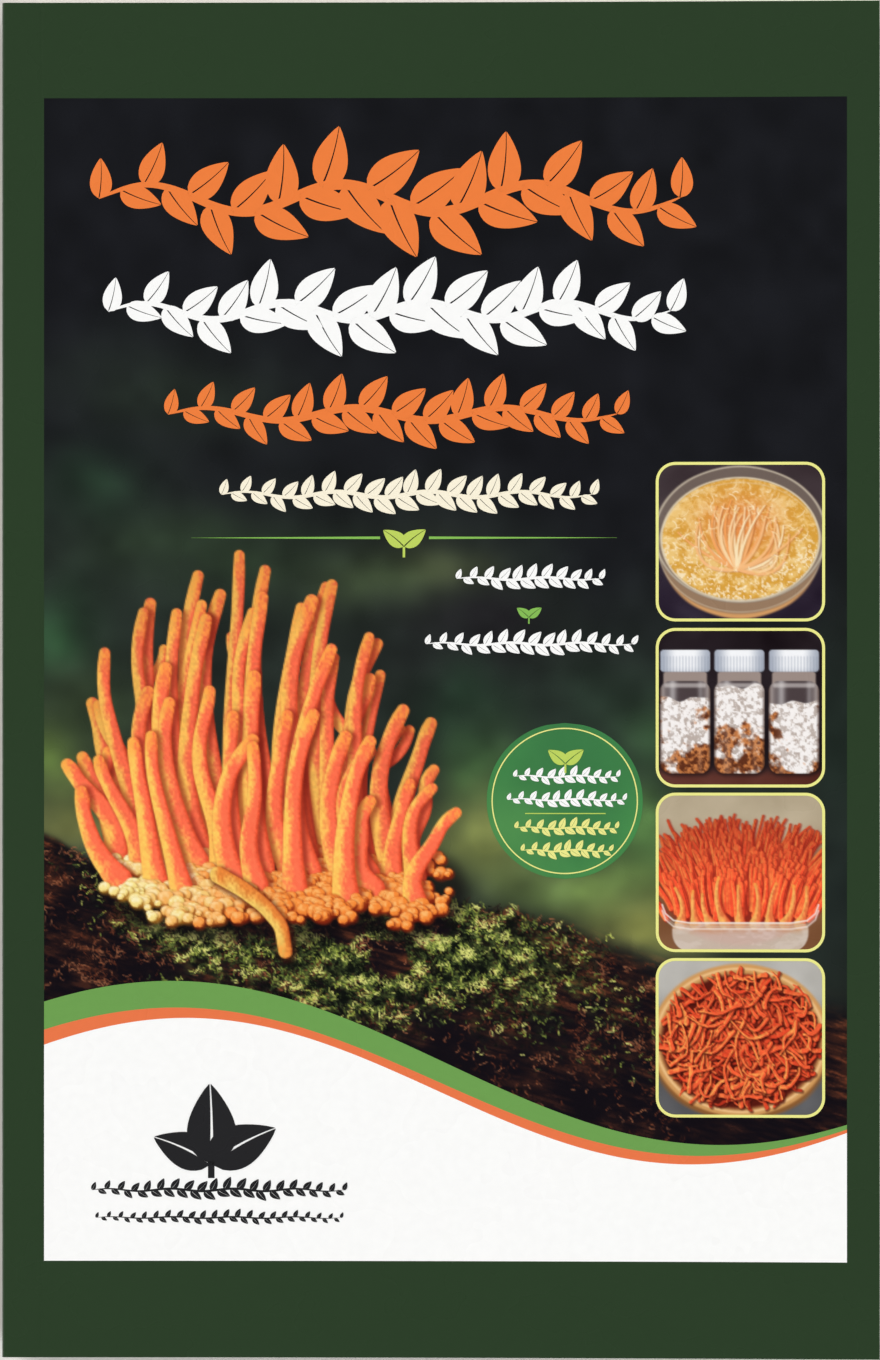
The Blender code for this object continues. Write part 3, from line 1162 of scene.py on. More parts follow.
@dataclass
class SmallPicture:
    """One of the framed pictures down the cover's right side, in millimetres.

    Attributes:
        kind: What it shows.
        top: Its upper edge.
        left: Its left edge.
        width: Its width.
        height: Its height.
        corner: The radius of its corners.
        pitch: The distance between its painted points.
    """

    kind: Specimen
    top: float
    left: float = 104.4
    width: float = 26.4
    height: float = 24.9
    corner: float = 2.9
    pitch: float = 0.16

    def __post_init__(self) -> None:
        """Lays out the net and finds the picture's middle."""
        self.net = Painter(self.left, self.top, self.left + self.width, self.top + self.height, self.pitch)
        self.middle = np.array((self.left + self.width / 2.0, self.top + self.height / 2.0))
        self.noise = Noise(60 + len(self.kind.value))
        self.draw = np.random.default_rng(70 + len(self.kind.value))

    def paint(self) -> Painter:
        """Paints the picture and returns its net."""
        {"DISH": self.dish, "JARS": self.jars, "TUB": self.tub, "BOWL": self.bowl}[self.kind.name]()
        return self.net

    def backdrop(self, upper: str, lower: str, line: float, soft: float) -> None:
        """Paints a wall and the table before it.

        Args:
            upper: The wall's colour.
            lower: The table's colour.
            line: How far down the picture the table begins, in millimetres.
            soft: How blurred its edge is.
        """
        net = self.net
        haze = self.noise.cloud(net.across * 0.12, net.down * 0.12, 3)[..., None] - 0.5
        share = ease(line - soft, line + soft, net.down - self.top)
        net.colour[:] = np.clip(mix(upper, lower, share) + 0.16 * haze, 0.0, 1.0)

    def dish(self) -> None:
        """A round glass dish of golden medium, seen from above at a slant, with pale strands in it."""
        net, noise, middle = self.net, self.noise, self.middle
        self.backdrop("#41363A", "#2A2130", 14.0, 8.0)
        net.oval(middle + (0.0, 1.9), (12.4, 10.4), "#D39B63", edge=0.3)
        net.oval(middle + (0.0, 1.2), (12.9, 10.3), "#8C7460", edge=0.3, cover=0.85)
        net.oval(middle + (0.0, -1.2), (13.7, 10.9), "#7B6C62", edge=0.3, cover=0.8)
        net.oval(middle + (0.0, -1.2), (13.7, 10.9), "#B9AC9A", edge=0.16, hollow=0.975)

        def medium(x: Net, y: Net, side: Net, drop: Net) -> Net:
            """The golden medium's colours."""
            felt = noise.cloud(x * 0.7, y * 0.9, 4)
            flecks = noise.cloud(x * 2.6, y * 2.6, 2)
            colour = mix("#D9A03E", "#EFC87C", ease(0.35, 0.7, felt))
            colour = mix(colour, "#E8854C", 0.75 * np.exp(-4.5 * (side ** 2 + (drop + 0.25) ** 2)))
            rim = ease(0.3, 0.95, np.hypot(side, drop - 0.1)) * ease(-0.3, 0.6, drop)
            return mix(colour, "#FBEBCB", np.clip(ease(0.5, 0.75, flecks) * (0.35 + rim), 0.0, 1.0) * 0.8)

        net.oval(middle + (0.0, -0.4), (12.5, 9.7), medium, edge=0.25)
        root = middle + (-0.4, 4.4)
        for spread in np.linspace(-1.0, 1.0, 34):
            bend, reach = self.draw.uniform(-1.8, 1.8), self.draw.uniform(0.55, 1.0)
            tip = middle + (10.6 * spread * reach, -7.2 * math.cos(spread * 1.35) * reach)
            tone = mix("#F5A25C", "#FFF0C8", self.draw.random())
            path = bow(root, tip, bend + 2.4 * spread, 10)
            net.limb(path + (0.18, 0.12), np.linspace(0.3, 0.14, 10), "#B96A33", edge=0.14, cover=0.45)
            net.limb(path, np.linspace(0.3, 0.1, 10), tone, edge=0.14, cover=0.9)
        for _ in range(150):
            angle, far = self.draw.uniform(0.0, TAU), self.draw.uniform(0.45, 0.93)
            start = middle + (12.0 * far * math.cos(angle), -0.4 + 9.2 * far * math.sin(angle))
            tip = start + self.draw.uniform(-1.3, 1.3, 2)
            tone = mix("#F2C478", "#FFF6DD", self.draw.random())
            net.limb(bow(start, tip, 0.2, 4), np.full(4, 0.09), tone, edge=0.12, cover=0.7)
        net.oval(middle + (0.0, -0.4), (12.7, 9.9), "#F0E2C6", edge=0.14, cover=0.75, hollow=0.975)
        net.oval(middle + (0.0, 0.9), (13.1, 10.4), "#E9DCC4", edge=0.12, cover=0.35, hollow=0.98)

    def jars(self) -> None:
        """Three small glass jars with ribbed white lids, part filled with grain under white mycelium."""
        net, noise = self.net, self.noise
        self.backdrop("#241C21", "#5C3129", 22.4, 1.2)
        for place, fill in ((-8.75, 11.0), (-0.15, 8.9), (8.5, 11.6)):
            centre, foot = self.middle[0] + place, self.top + 22.9

            def jar(x: Net, y: Net, side: Net, drop: Net) -> Net:
                """The colours of a jar and what is in it."""
                level = self.top + fill + 1.2 * (noise.at(x * 0.5, x * 0.0 + fill) - 0.5)
                full = ease(-0.15, 0.15, y - level)
                grain = noise.cloud(x * 1.9, y * 1.9 + fill, 3)
                web = noise.cloud(x * 0.36 + y * 0.3 + fill, y * 0.36 - x * 0.3, 4)
                web = web + 0.3 * (0.42 - ease(5.0, 12.5, y - level))
                brown = mix("#5F2F1B", "#C97D46", ease(0.3, 0.7, grain))
                white = mix("#BCAEA6", "#F7F2F0", ease(0.3, 0.56, grain))
                content = mix(brown, white, ease(0.38, 0.56, web))
                empty = mix("#4A3F41", "#A79C99", ease(0.55, 1.0, np.abs(side)))
                shine = 0.5 * np.exp(-((side + 0.5) / 0.16) ** 2) + 0.3 * np.exp(-((side - 0.6) / 0.1) ** 2)
                colour = mix(mix(empty, content, full), "#F4F2F2", shine * (1.0 - 0.7 * full))
                return mix(colour, "#3A2620", 0.7 * ease(0.86, 1.02, np.abs(side)))

            body = (centre, (self.top + 8.2 + foot) / 2.0)
            half = (4.0, (foot - self.top - 8.2) / 2.0)
            net.block((body[0] + 0.2, body[1] + 0.4), half, 1.7, "#120C0F", edge=0.6, cover=0.6)
            net.block((centre, self.top + 8.2), (3.45, 1.5), 0.5, "#9C8C85", edge=0.2)
            net.block(body, half, 1.7, jar, edge=0.12)
            net.block((centre, self.top + 8.9), (3.3, 0.35), 0.3, "#E4DDDA", edge=0.25, cover=0.55)

            def lid(x: Net, y: Net, side: Net, drop: Net) -> Net:
                """The ribbed lid's colours."""
                ribs = 0.5 + 0.5 * np.sin((x - centre) * TAU / 0.5)
                colour = mix("#F6F7FA", "#A9B0BE", ease(0.3, 1.0, np.abs(side)))
                shade = 0.34 * ribs * ease(-0.55, -0.3, drop) + 0.15 * ease(0.4, 1.0, drop)
                return mix(colour, "#8992A4", shade)

            net.block((centre, self.top + 5.0), (3.95, 1.75), 0.55, lid, edge=0.12)

    def tub(self) -> None:
        """A clear plastic tub packed with upright orange clubs."""
        net, draw = self.net, self.draw
        self.backdrop("#B5A68C", "#7C5236", 9.0, 6.0)
        flesh = Flesh(deep="#B8321C", body="#FB5433", glow="#FF8A48", tip="#F8683A")
        middle = self.middle[0]
        net.oval((middle, self.top + 16.0), (11.6, 8.0), "#8E2B1E", edge=0.6)
        for depth in np.sort(draw.uniform(0.0, 1.0, 520)):
            spread = draw.uniform(-1.0, 1.0)
            foot = np.array((middle + spread * (10.2 + 1.8 * depth), self.top + 8.2 + 11.8 * depth))
            tall = draw.uniform(3.6, 5.4) + 1.6 * depth
            tip = foot + (spread * 2.6 + draw.uniform(-0.8, 0.8), -tall + 1.5 * spread ** 2)
            girth = np.linspace(0.38, 0.24, 6) * (0.8 + 0.45 * depth)
            path = bow(foot, tip, draw.uniform(-0.5, 0.5), 6)
            net.limb(path + (0.16, 0.1), girth + 0.1, "#93281D", edge=0.2, cover=0.5)
            net.limb(path, girth, flesh.shade(draw.uniform(-0.4, 0.1), 0.8 + 0.25 * depth), edge=0.12)
        for place in np.linspace(-0.86, 0.86, 9):
            foot = np.array((middle + place * 11.0, self.top + 20.6))
            girth = np.interp(np.linspace(0, 1, 8), (0.0, 0.25, 1.0), (0.95, 0.5, 0.26))
            rise = (place * 2.0 + draw.uniform(-0.9, 0.9), -draw.uniform(4.5, 7.5))
            path = bow(foot, foot + rise, draw.uniform(-0.8, 0.8), 8)
            net.limb(path, girth, Flesh(body="#F07A45", glow="#FBB862").shade(0.2), edge=0.14)

        def wall(x: Net, y: Net, side: Net, drop: Net) -> Net:
            """The colours of the tub's front wall."""
            streak = self.noise.cloud(x * 0.5, y * 0.9, 3)
            substrate = mix("#D8A47A", "#D7C9BC", ease(20.6, 22.6, y - self.top + 1.6 * (streak - 0.5)))
            return mix(substrate, "#F2ECE6", 0.4 * ease(0.5, 0.7, streak))

        net.block((middle, self.top + 23.4), (10.8, 3.0), 1.2, wall, edge=0.2, cover=0.82)
        half = np.array(((-12.4, 17.6), (-11.9, 19.0), (-10.6, 20.1), (-8.0, 20.5)))
        rim = np.concatenate([half, half[::-1] * (-1.0, 1.0)])
        for lower, tone, cover in ((0.0, "#F4EFEA", 0.85), (0.55, "#C9B7A8", 0.5), (0.95, "#F1E9E2", 0.7)):
            net.limb(rim + (middle, self.top + lower), np.full(8, 0.13), tone, edge=0.12, cover=cover)

    def bowl(self) -> None:
        """A shallow tan bowl heaped with dried orange clubs that cross each other."""
        net, draw, middle = self.net, self.draw, self.middle
        self.backdrop("#B9B6B0", "#59595C", 9.0, 5.0)
        net.oval(middle + (0.0, 1.2), (14.2, 12.4), "#8A5A30", edge=0.5)
        net.oval(middle + (0.0, 0.4), (14.2, 12.2), mix("#DDA768", "#B57B42", 0.3), edge=0.3)
        net.oval(middle + (0.0, 0.4), (13.6, 11.6), "#F0C58D", edge=0.2, cover=0.8, hollow=0.965)
        net.oval(middle + (0.0, 0.6), (12.6, 10.7), "#57170F", edge=0.5)
        low, middling = (0.0, "#BE341F", "#D8552F", 150), (0.5, "#EA4C2C", "#F47C43", 170)
        for layer, body, glow, count in (low, middling, (1.0, "#FA6238", "#FFA855", 80)):
            flesh = Flesh(deep="#9A2815", body=body, glow=glow, tip=glow)
            for _ in range(count):
                angle, far = draw.uniform(0.0, TAU), math.sqrt(draw.random()) * 0.98
                spot = middle + (12.2 * far * math.cos(angle), 0.3 + 10.3 * far * math.sin(angle))
                turn, half = draw.uniform(0.0, TAU), draw.uniform(2.6, 6.2) * (1.0 - 0.62 * far)
                reach = np.array((math.cos(turn), math.sin(turn) * 0.85)) * half
                path = bow(spot - reach, spot + reach, draw.uniform(-1.5, 1.5), 8)
                path[:, 1] += 0.35 * np.sin(np.linspace(0.0, 7.0, 8) + angle)
                girth = np.linspace(0.3, 0.12, 8) * draw.uniform(0.7, 1.2) * (1.0 + 0.25 * layer)
                net.limb(path + (0.18, 0.22), girth + 0.07, "#3E0F0B", edge=0.2, cover=0.55)
                net.limb(path, girth, flesh.shade(draw.uniform(-0.5, 0.2)), edge=0.12)
                if draw.random() < 0.5:
                    fork = bow(path[4], path[4] + (draw.uniform(-1.7, 1.7), draw.uniform(-1.7, 1.7)), 0.2, 5)
                    net.limb(fork, np.linspace(0.9, 0.5, 5) * girth[5], flesh.shade(-0.1), edge=0.12)


# ---- ornament


class Recipe:
    """A Geometry Nodes tree with named inputs, and the plain meshes that it makes."""

    def __init__(self, name: str, **inputs: Sequence[str]) -> None:
        """Starts the tree.

        Args:
            name: The tree's name.
            inputs: For each kind of socket, the names of its inputs.
        """
        self.tree = bpy.data.node_groups.new(name, "GeometryNodeTree")
        for kind, labels in inputs.items():
            for label in labels:
                self.tree.interface.new_socket(name=label, in_out="INPUT", socket_type=f"NodeSocket{kind}")
        self.tree.interface.new_socket(name="Geometry", in_out="OUTPUT", socket_type="NodeSocketGeometry")
        self.given = add_node(self.tree, "NodeGroupInput").outputs

    def add(self, kind: str, inputs: Inputs | None = None, **settings: Any) -> Any:
        """Adds a node to the tree and returns its outputs."""
        return add_node(self.tree, kind, inputs, **settings).outputs

    def math(self, operation: str, *values: Any) -> Socket:
        """Adds a sum of the values and returns its result."""
        return self.add("ShaderNodeMath", dict(enumerate(values)), operation=operation)[0]

    def times(self, *values: Any) -> Socket:
        """Adds a product of two values and returns its result."""
        return self.math("MULTIPLY", *values)

    def join(self, first: Socket, second: Socket) -> Socket:
        """Adds a node that puts two meshes together.

        Args:
            first: The one.
            second: The other.

        Returns:
            The result's socket.
        """
        both = add_node(self.tree, "GeometryNodeJoinGeometry", {0: first})
        self.tree.links.new(second, both.inputs[0])
        return both.outputs[0]

    def close(self, geometry: Socket) -> None:
        """Ends the tree: the instances are made real and given the material.

        Args:
            geometry: What the tree gives.
        """
        real = self.add("GeometryNodeRealizeInstances", {0: geometry})[0]
        dress = {"Geometry": real, "Material": self.given["Material"]}
        add_node(self.tree, "NodeGroupOutput", {0: self.add("GeometryNodeSetMaterial", dress)[0]})

    def mesh(self, name: str, values: Mapping[str, Any]) -> Mesh:
        """Runs the tree once.

        Args:
            name: The mesh's name.
            values: For each input's name, its value.

        Returns:
            The plain mesh.
        """
        carrier = bpy.data.objects.new(f"{name}_carrier", bpy.data.meshes.new(name))
        bpy.context.scene.collection.objects.link(carrier)
        maker = carrier.modifiers.new(name, "NODES")
        maker.node_group = self.tree
        for item in self.tree.interface.items_tree:
            if item.in_out == "INPUT" and item.name in values:
                maker[item.identifier] = values[item.name]
        graph = bpy.context.evaluated_depsgraph_get()
        made = bpy.data.meshes.new_from_object(carrier.evaluated_get(graph))
        made.name = name
        bpy.data.objects.remove(carrier)
        return made


def vine_recipe() -> Recipe:
    """The tree of a printed vine: a waving stem along X, with leaves on it to both sides.

    Returns:
        The tree.
    """
    vine = Recipe(
        "printed_vine", Object=("Leaf",), Int=("Leaves", "Seed"), Material=("Material",),
        Float=("Length", "Swing", "Waves", "Stem", "Film", "Leaf Size", "Splay"),
    )
    given, add, calc, times = vine.given, vine.add, vine.math, vine.times
    end = add("ShaderNodeCombineXYZ", {"X": given["Length"]})[0]
    line = add("GeometryNodeCurvePrimitiveLine", {"End": end})[0]
    fine = add("GeometryNodeResampleCurve", {"Curve": line, "Count": 140})[0]
    share = add("GeometryNodeSplineParameter")[0]
    turn = times(times(share, given["Waves"]), TAU)
    wave = times(calc("SINE", turn), given["Swing"])
    offset = add("ShaderNodeCombineXYZ", {"Y": wave})[0]
    stem = add("GeometryNodeSetPosition", {"Geometry": fine, "Offset": offset})[0]
    upright = add("GeometryNodeSetCurveNormal", {"Curve": stem}, mode="Z_UP")[0]
    # The stem thins towards its ends, but not away to nothing.
    ends = calc("POWER", calc("SINE", times(share, math.pi)), 0.45)
    width = calc("MAXIMUM", ends, 0.12)
    flat = {"Width": given["Stem"], "Height": given["Film"]}
    section = add("GeometryNodeCurvePrimitiveQuadrilateral", flat)[0]
    swept = {"Curve": upright, "Profile Curve": section, "Scale": width, "Fill Caps": True}
    tube = add("GeometryNodeCurveToMesh", swept)[0]
    points = add("GeometryNodeCurveToPoints", {"Curve": stem, "Count": given["Leaves"]}, mode="COUNT")
    along = add("ShaderNodeSeparateXYZ", {0: points["Tangent"]})
    heading = calc("ARCTAN2", along["Y"], along["X"])
    number = add("GeometryNodeInputIndex")[0]
    # Every other leaf stands on the stem's other side.
    side = calc("SUBTRACT", 1.0, times(calc("MODULO", number, 2.0), 2.0))
    loose = {"Min": -0.12, "Max": 0.12, "ID": number, "Seed": given["Seed"]}
    wander = add("FunctionNodeRandomValue", loose, data_type="FLOAT")["Value"]
    angle = calc("ADD", calc("ADD", heading, times(side, given["Splay"])), wander)
    turned = add("ShaderNodeCombineXYZ", {"Z": angle})[0]
    rotation = add("FunctionNodeEulerToRotation", {0: turned})[0]
    spot = calc("DIVIDE", number, calc("SUBTRACT", given["Leaves"], 1.0))
    # The leaves at the ends are 0.62 of the size of those in the middle.
    swell = calc("ADD", 0.62, times(calc("SINE", times(spot, math.pi)), 0.38))
    size = times(swell, given["Leaf Size"])
    scale = add("ShaderNodeCombineXYZ", {"X": size, "Y": size, "Z": 1.0})[0]
    leaf = add("GeometryNodeObjectInfo", {"Object": given["Leaf"]})["Geometry"]
    # Each leaf lies a hair above the one before, so that no two share a plane where they cross.
    stacked = add("ShaderNodeCombineXYZ", {"Z": times(number, 0.0008 * MM)})[0]
    spots = add("GeometryNodeSetPosition", {"Geometry": points["Points"], "Offset": stacked})[0]
    stamped = {"Points": spots, "Instance": leaf, "Rotation": rotation, "Scale": scale}
    vine.close(vine.join(tube, add("GeometryNodeInstanceOnPoints", stamped)[0]))
    return vine


def leaf_recipe() -> Recipe:
    """The tree of a sheet of paper: a flat oblong that lifts towards its far edge, with a real thickness.

    Returns:
        The tree.
    """
    sheet = Recipe(
        "trimmed_leaf", Int=("Columns", "Rows"), Material=("Material",), Float=(
            "Width", "Height", "Left", "Level", "Flat", "Rise", "Power", "Ripple", "Ripple Length",
            "Thickness",
        ),
    )
    given, add, calc, times = sheet.given, sheet.add, sheet.math, sheet.times
    sides = {"Size X": given["Width"], "Size Y": given["Height"]}
    sides |= {"Vertices X": given["Columns"], "Vertices Y": given["Rows"]}
    grid = add("GeometryNodeMeshGrid", sides)[0]
    place = add("ShaderNodeSeparateXYZ", {0: add("GeometryNodeInputPosition")[0]})
    from_left = calc("ADD", place["X"], times(given["Width"], 0.5))
    run = calc("SUBTRACT", given["Width"], given["Flat"])
    share = calc("MAXIMUM", calc("DIVIDE", calc("SUBTRACT", from_left, given["Flat"]), run), 0.0)
    curl = times(calc("POWER", share, given["Power"]), given["Rise"])
    turn = times(calc("DIVIDE", place["Y"], given["Ripple Length"]), TAU)
    ripple = times(times(calc("SINE", turn), given["Ripple"]), calc("POWER", share, 2.0))
    height = calc("ADD", calc("ADD", curl, ripple), given["Level"])
    across = calc("ADD", from_left, given["Left"])
    spot = add("ShaderNodeCombineXYZ", {"X": across, "Y": place["Y"], "Z": height})[0]
    low = add("GeometryNodeSetPosition", {"Geometry": grid, "Position": spot})[0]
    offset = add("ShaderNodeCombineXYZ", {"Z": given["Thickness"]})[0]
    lifted = {"Mesh": low, "Offset": offset, "Offset Scale": 1.0, "Individual": False}
    raised = add("GeometryNodeExtrudeMesh", lifted)[0]
    both = sheet.join(raised, add("GeometryNodeFlipFaces", {"Mesh": low})[0])
    sheet.close(add("GeometryNodeMergeByDistance", {"Geometry": both, "Distance": 0.002 * MM})[0])
    return sheet


@dataclass(frozen=True)
class LeafStamp:
    """A printed leaf of length 1, in two halves with a bare midrib between them.

    Attributes:
        wide: Half its width.
        rib: Half the bare rib's width at its foot.
        bend: How far its tip curls to one side.
        steps: How many points each edge has.
    """

    wide: float = 0.25
    rib: float = 0.018
    bend: float = 0.14
    steps: int = 15

    def halves(self) -> list[Net]:
        """The two halves as nets of points along and up, the far edge first.

        Returns:
            The two nets.
        """
        t = np.linspace(0.0, 1.0, self.steps)
        spine = self.bend * t ** 2
        edge = self.wide * np.sin(math.pi * t ** 0.72) ** 0.85 + 0.012
        rib = self.rib * (1.0 - 0.7 * t) + 0.001
        middle = (edge + rib) / 2.0
        rows = ((spine + edge, spine + middle, spine + rib), (spine - rib, spine - middle, spine - edge))
        return [np.stack([np.stack([t, row], -1) for row in half]) for half in rows]

    def mesh(self, film: float) -> Mesh:
        """The stamp as a closed mesh on the XY plane.

        Args:
            film: The film's thickness.

        Returns:
            The mesh.
        """
        joined = bmesh.new()
        for half in self.halves():
            flat = np.concatenate([half, np.full(half.shape[:2] + (1,), film / 2.0)], -1)
            part = film_mesh("half_leaf", flat, film)
            joined.from_mesh(part)
            bpy.data.meshes.remove(part)
        mesh = bpy.data.meshes.new("leaf_stamp")
        joined.to_mesh(mesh)
        joined.free()
        return mesh


@dataclass(frozen=True)
class Vine:
    """One printed row of leaves, which stands where a line of type would.

    Attributes:
        name: The piece's name.
        ink: Its ink.
        left: Where it begins, in millimetres across.
        right: Where it ends.
        down: Its middle, down from the head.
        swing: How far its stem waves to each side.
        waves: How many waves it has.
        stem: The stem's width.
        leaves: How many leaves it has.
        leaf: A leaf's length.
        splay_deg: How far the leaves turn from the stem.
    """

    name: str
    ink: Ink
    left: float
    right: float
    down: float
    swing: float
    waves: float
    stem: float
    leaves: int
    leaf: float
    splay_deg: float

    def mesh(self, recipe: Recipe, stamp: Object, material: Material, film: float) -> Mesh:
        """Grows the vine, flat along X from the origin."""
        return recipe.mesh(self.name, {
            "Leaf": stamp, "Length": (self.right - self.left) * MM, "Swing": self.swing * MM,
            "Waves": self.waves, "Stem": self.stem * MM, "Film": film, "Leaves": self.leaves,
            "Leaf Size": self.leaf * MM, "Splay": math.radians(self.splay_deg), "Seed": 3,
            "Material": material,
        })


# ---- the book


@dataclass
class Book:
    """The book's sizes, read from the frame, and the faces that ink is laid on. All are in metres.

    Attributes:
        power: How sharply the front cover and the first leaves curl towards the fore-edge.
        fold: The outer radius of the spine's two folds.
        ripples: How far the first leaves wave along their loose edge.
    """

    power: float = 2.2
    fold: float = 0.6 * MM
    ripples: Row = (0.16 * MM, 0.10 * MM, 0.05 * MM)

    def __post_init__(self) -> None:
        """Reads the frame."""
        wrap_low, wrap_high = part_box("cover_spine_and_back")
        panel_low, panel_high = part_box("cover_front_panel")
        first_low, first_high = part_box("leaf_01")
        last_low, last_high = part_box(f"leaf_{self.leaf_count():02d}")
        joint = frame["joints"][0]
        self.spine_x, self.fore_edge_x = wrap_low.x, wrap_high.x
        self.head_y, self.cover_z = wrap_high.y, wrap_high.z
        self.card = self.cover_z - panel_low.z
        self.panel_x, self.rise = panel_low.x, panel_high.z - self.cover_z
        self.score_x = joint["pos_m"][0]
        self.paper = last_high.z - last_low.z
        self.leaf_z, self.leaf_rise = first_low.z + self.paper, first_high.z - first_low.z - self.paper

    @staticmethod
    def leaf_count() -> int:
        """How many leaves the frame has."""
        return sum(name.startswith("leaf_") for name in frame["nodes"])

    @staticmethod
    def ripple_length(number: int) -> float:
        """How long one wave of a leaf's loose edge is."""
        return 0.11 + 0.013 * number

    def height_mm(self) -> float:
        """The trimmed page's height, in millimetres."""
        return 2.0 * self.head_y / MM

    def cover_top(self, x: Net) -> Net:
        """How high the front cover's outer side is, along X."""
        share = np.clip((x - self.panel_x) / (self.fore_edge_x - self.panel_x), 0.0, 1.0)
        return self.cover_z + self.rise * share ** self.power

    def face(self, body: str, section: Callable[[Net, Net], tuple[Net, Net]], ripple: float = 0.0) -> Face:
        """A face of the book that runs straight from head to foot.

        Args:
            body: The body that it moves with.
            section: Turns metres across and a lift into X and Z.
            ripple: How far its loose edge waves.

        Returns:
            The face.
        """

        def spot(across: Net, down: Net, lift: Net) -> Net:
            """Places on the face."""
            y = self.head_y - np.asarray(down) * MM
            x, z = section(np.asarray(across) * MM, np.asarray(lift))
            wave = ripple * np.sin(y / self.ripple_length(1) * TAU) * self.opened(x) ** 2
            return np.stack(np.broadcast_arrays(x, y, z + wave), -1)

        return Face(body, spot)

    def opened(self, x: Net) -> Net:
        """How far along its free part a leaf is, from 0 at the score to 1 at the fore-edge."""
        return np.clip((x - self.score_x) / (self.fore_edge_x - self.score_x), 0.0, 1.0)

    def front(self) -> Face:
        """The front cover's outer face."""
        return self.face("front_cover", lambda across, lift: (
            self.spine_x + across, self.cover_top(self.spine_x + across) + lift
        ))

    def title_page(self) -> Face:
        """The first leaf's upper side."""

        def section(across: Net, lift: Net) -> tuple[Net, Net]:
            """The leaf's curl."""
            x = self.spine_x + across
            return x, self.leaf_z + self.leaf_rise * self.opened(x) ** self.power + lift

        return self.face("book_block", section, self.ripples[0])

    def spine(self) -> Face:
        """The spine's outer face, across from the back cover's edge to the front cover's."""
        return self.face("book_block", lambda across, lift: (self.spine_x - lift, across))

    def back(self) -> Face:
        """The back cover's outer face, across from its fore-edge to the spine."""
        return self.face("book_block", lambda across, lift: (self.fore_edge_x - across, -lift))


def settle(mesh: Mesh, layer: Layer, at: Row, turn_deg: float = 0.0) -> Mesh:
    """Lays a flat mesh, drawn in metres on the XY plane, onto the book.

    Args:
        mesh: The mesh, which is changed.
        layer: The layer that it is printed in.
        at: Where its origin goes, in millimetres across and down.
        turn_deg: How far it turns to the right.

    Returns:
        The mesh.
    """
    places = np.zeros(len(mesh.vertices) * 3)
    mesh.vertices.foreach_get("co", places)
    x, y, z = (places.reshape(-1, 3) / MM).T
    turn = math.radians(turn_deg)
    across = at[0] + x * math.cos(turn) + y * math.sin(turn)
    down = at[1] + x * math.sin(turn) - y * math.cos(turn)
    mesh.vertices.foreach_set("co", layer.face.spot(across, down, layer.lift + z * MM).ravel())
    mesh.update()
    return mesh


@dataclass
class CoverCard:
    """The cover: one sheet of printed card, folded round the spine and scored beside it.

    Attributes:
        book: The book's sizes.
        seam_mm: How far from the spine the front sheet begins.
        score_mm: Half the width of the pressed score.
        score_depth: How deep the score is pressed.
    """

    book: Book
    seam_mm: float = 3.4
    score_mm: float = 0.42
    score_depth: float = 0.05 * MM

    def sheet(self, name: str, points: Net, under: Net | None = None) -> Piece:
        """A closed sheet of card, whose printed side, cut edges and bare side have three finishes.

        Args:
            name: The piece's name.
            points: The net of its printed side.
            under: The directions from its printed side to its bare one.

        Returns:
            The piece.
        """
        mesh = film_mesh(name, points, self.book.card, under=under)
        rows, columns = points.shape[:2]
        printed, cut = (rows - 1) * (columns - 1), 2 * (rows - 1) + 2 * (columns - 1)
        kinds = np.full(len(mesh.polygons), 2)
        kinds[:printed], kinds[printed:printed + cut] = 0, 1
        mesh.polygons.foreach_set("material_index", kinds)
        return Piece(name, mesh, (Ink.BORDER, "card_edge", "card_inside"))

    def front(self) -> Piece:
        """The front cover with the strip that is glued down beside its score.

        Returns:
            The piece.
        """
        book = self.book
        score = (book.score_x - book.spine_x) / MM
        width = (book.fore_edge_x - book.spine_x) / MM
        fine = np.arange(-1.2, 1.21, 0.08) + score
        across = np.concatenate([
            np.linspace(self.seam_mm, fine[0], 6)[:-1], fine, np.linspace(fine[-1], width, 96)[1:],
        ])
        points = book.front().spot(*np.meshgrid(across, np.linspace(0.0, book.height_mm(), 25)), 0.0)
        points[..., 2] -= self.score_depth * np.exp(-((across - score) / (self.score_mm * 0.6)) ** 2)
        return self.sheet("cover_front_sheet", points)

    def wrap(self) -> Piece:
        """The back cover and the spine, up to the front sheet.

        Returns:
            The piece.
        """
        book, fold = self.book, self.book.fold
        corner = book.spine_x + fold
        path = [(x, 0.0, 0.0, 1.0) for x in np.linspace(book.fore_edge_x, corner + MM, 15)]
        for middle, start in ((fold, 270.0), (book.cover_z - fold, 180.0)):
            for angle in np.radians(np.linspace(start, start - 90.0, 9)):
                out = (math.cos(angle), math.sin(angle))
                path.append((corner + fold * out[0], middle + fold * out[1], -out[0], -out[1]))
        path += [(x, book.cover_z, 0.0, -1.0) for x in (corner + MM, book.spine_x + self.seam_mm * MM)]
        x, z, in_x, in_z = (np.broadcast_to(values, (17, len(path))) for values in np.array(path).T)
        y = np.broadcast_to(np.linspace(book.head_y, -book.head_y, 17)[:, None], x.shape)
        under = np.stack([in_x, np.zeros_like(in_x), in_z], -1)
        return self.sheet("cover_spine_and_back_sheet", np.stack([x, y, z], -1), under)

    def build(self, finishes: Finishes) -> None:
        """Shows both sheets in place of the frame's two.

        Args:
            finishes: Every finish of the book.
        """
        front = self.front().show(finishes, None)
        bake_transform(front)
        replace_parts(front, "cover_front_panel")
        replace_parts(self.wrap().show(finishes, "book_block"), "cover_spine_and_back")


@dataclass(frozen=True)
class Wave:
    """A long printed curve across the cover, in millimetres: a crest to the left, a trough to the right."""

    middle: float
    swing: float
    crest: float
    half: float

    def at(self, across: Net) -> Net:
        """How far down the curve is."""
        return self.middle - self.swing * np.cos(math.pi * (across - self.crest) / self.half)


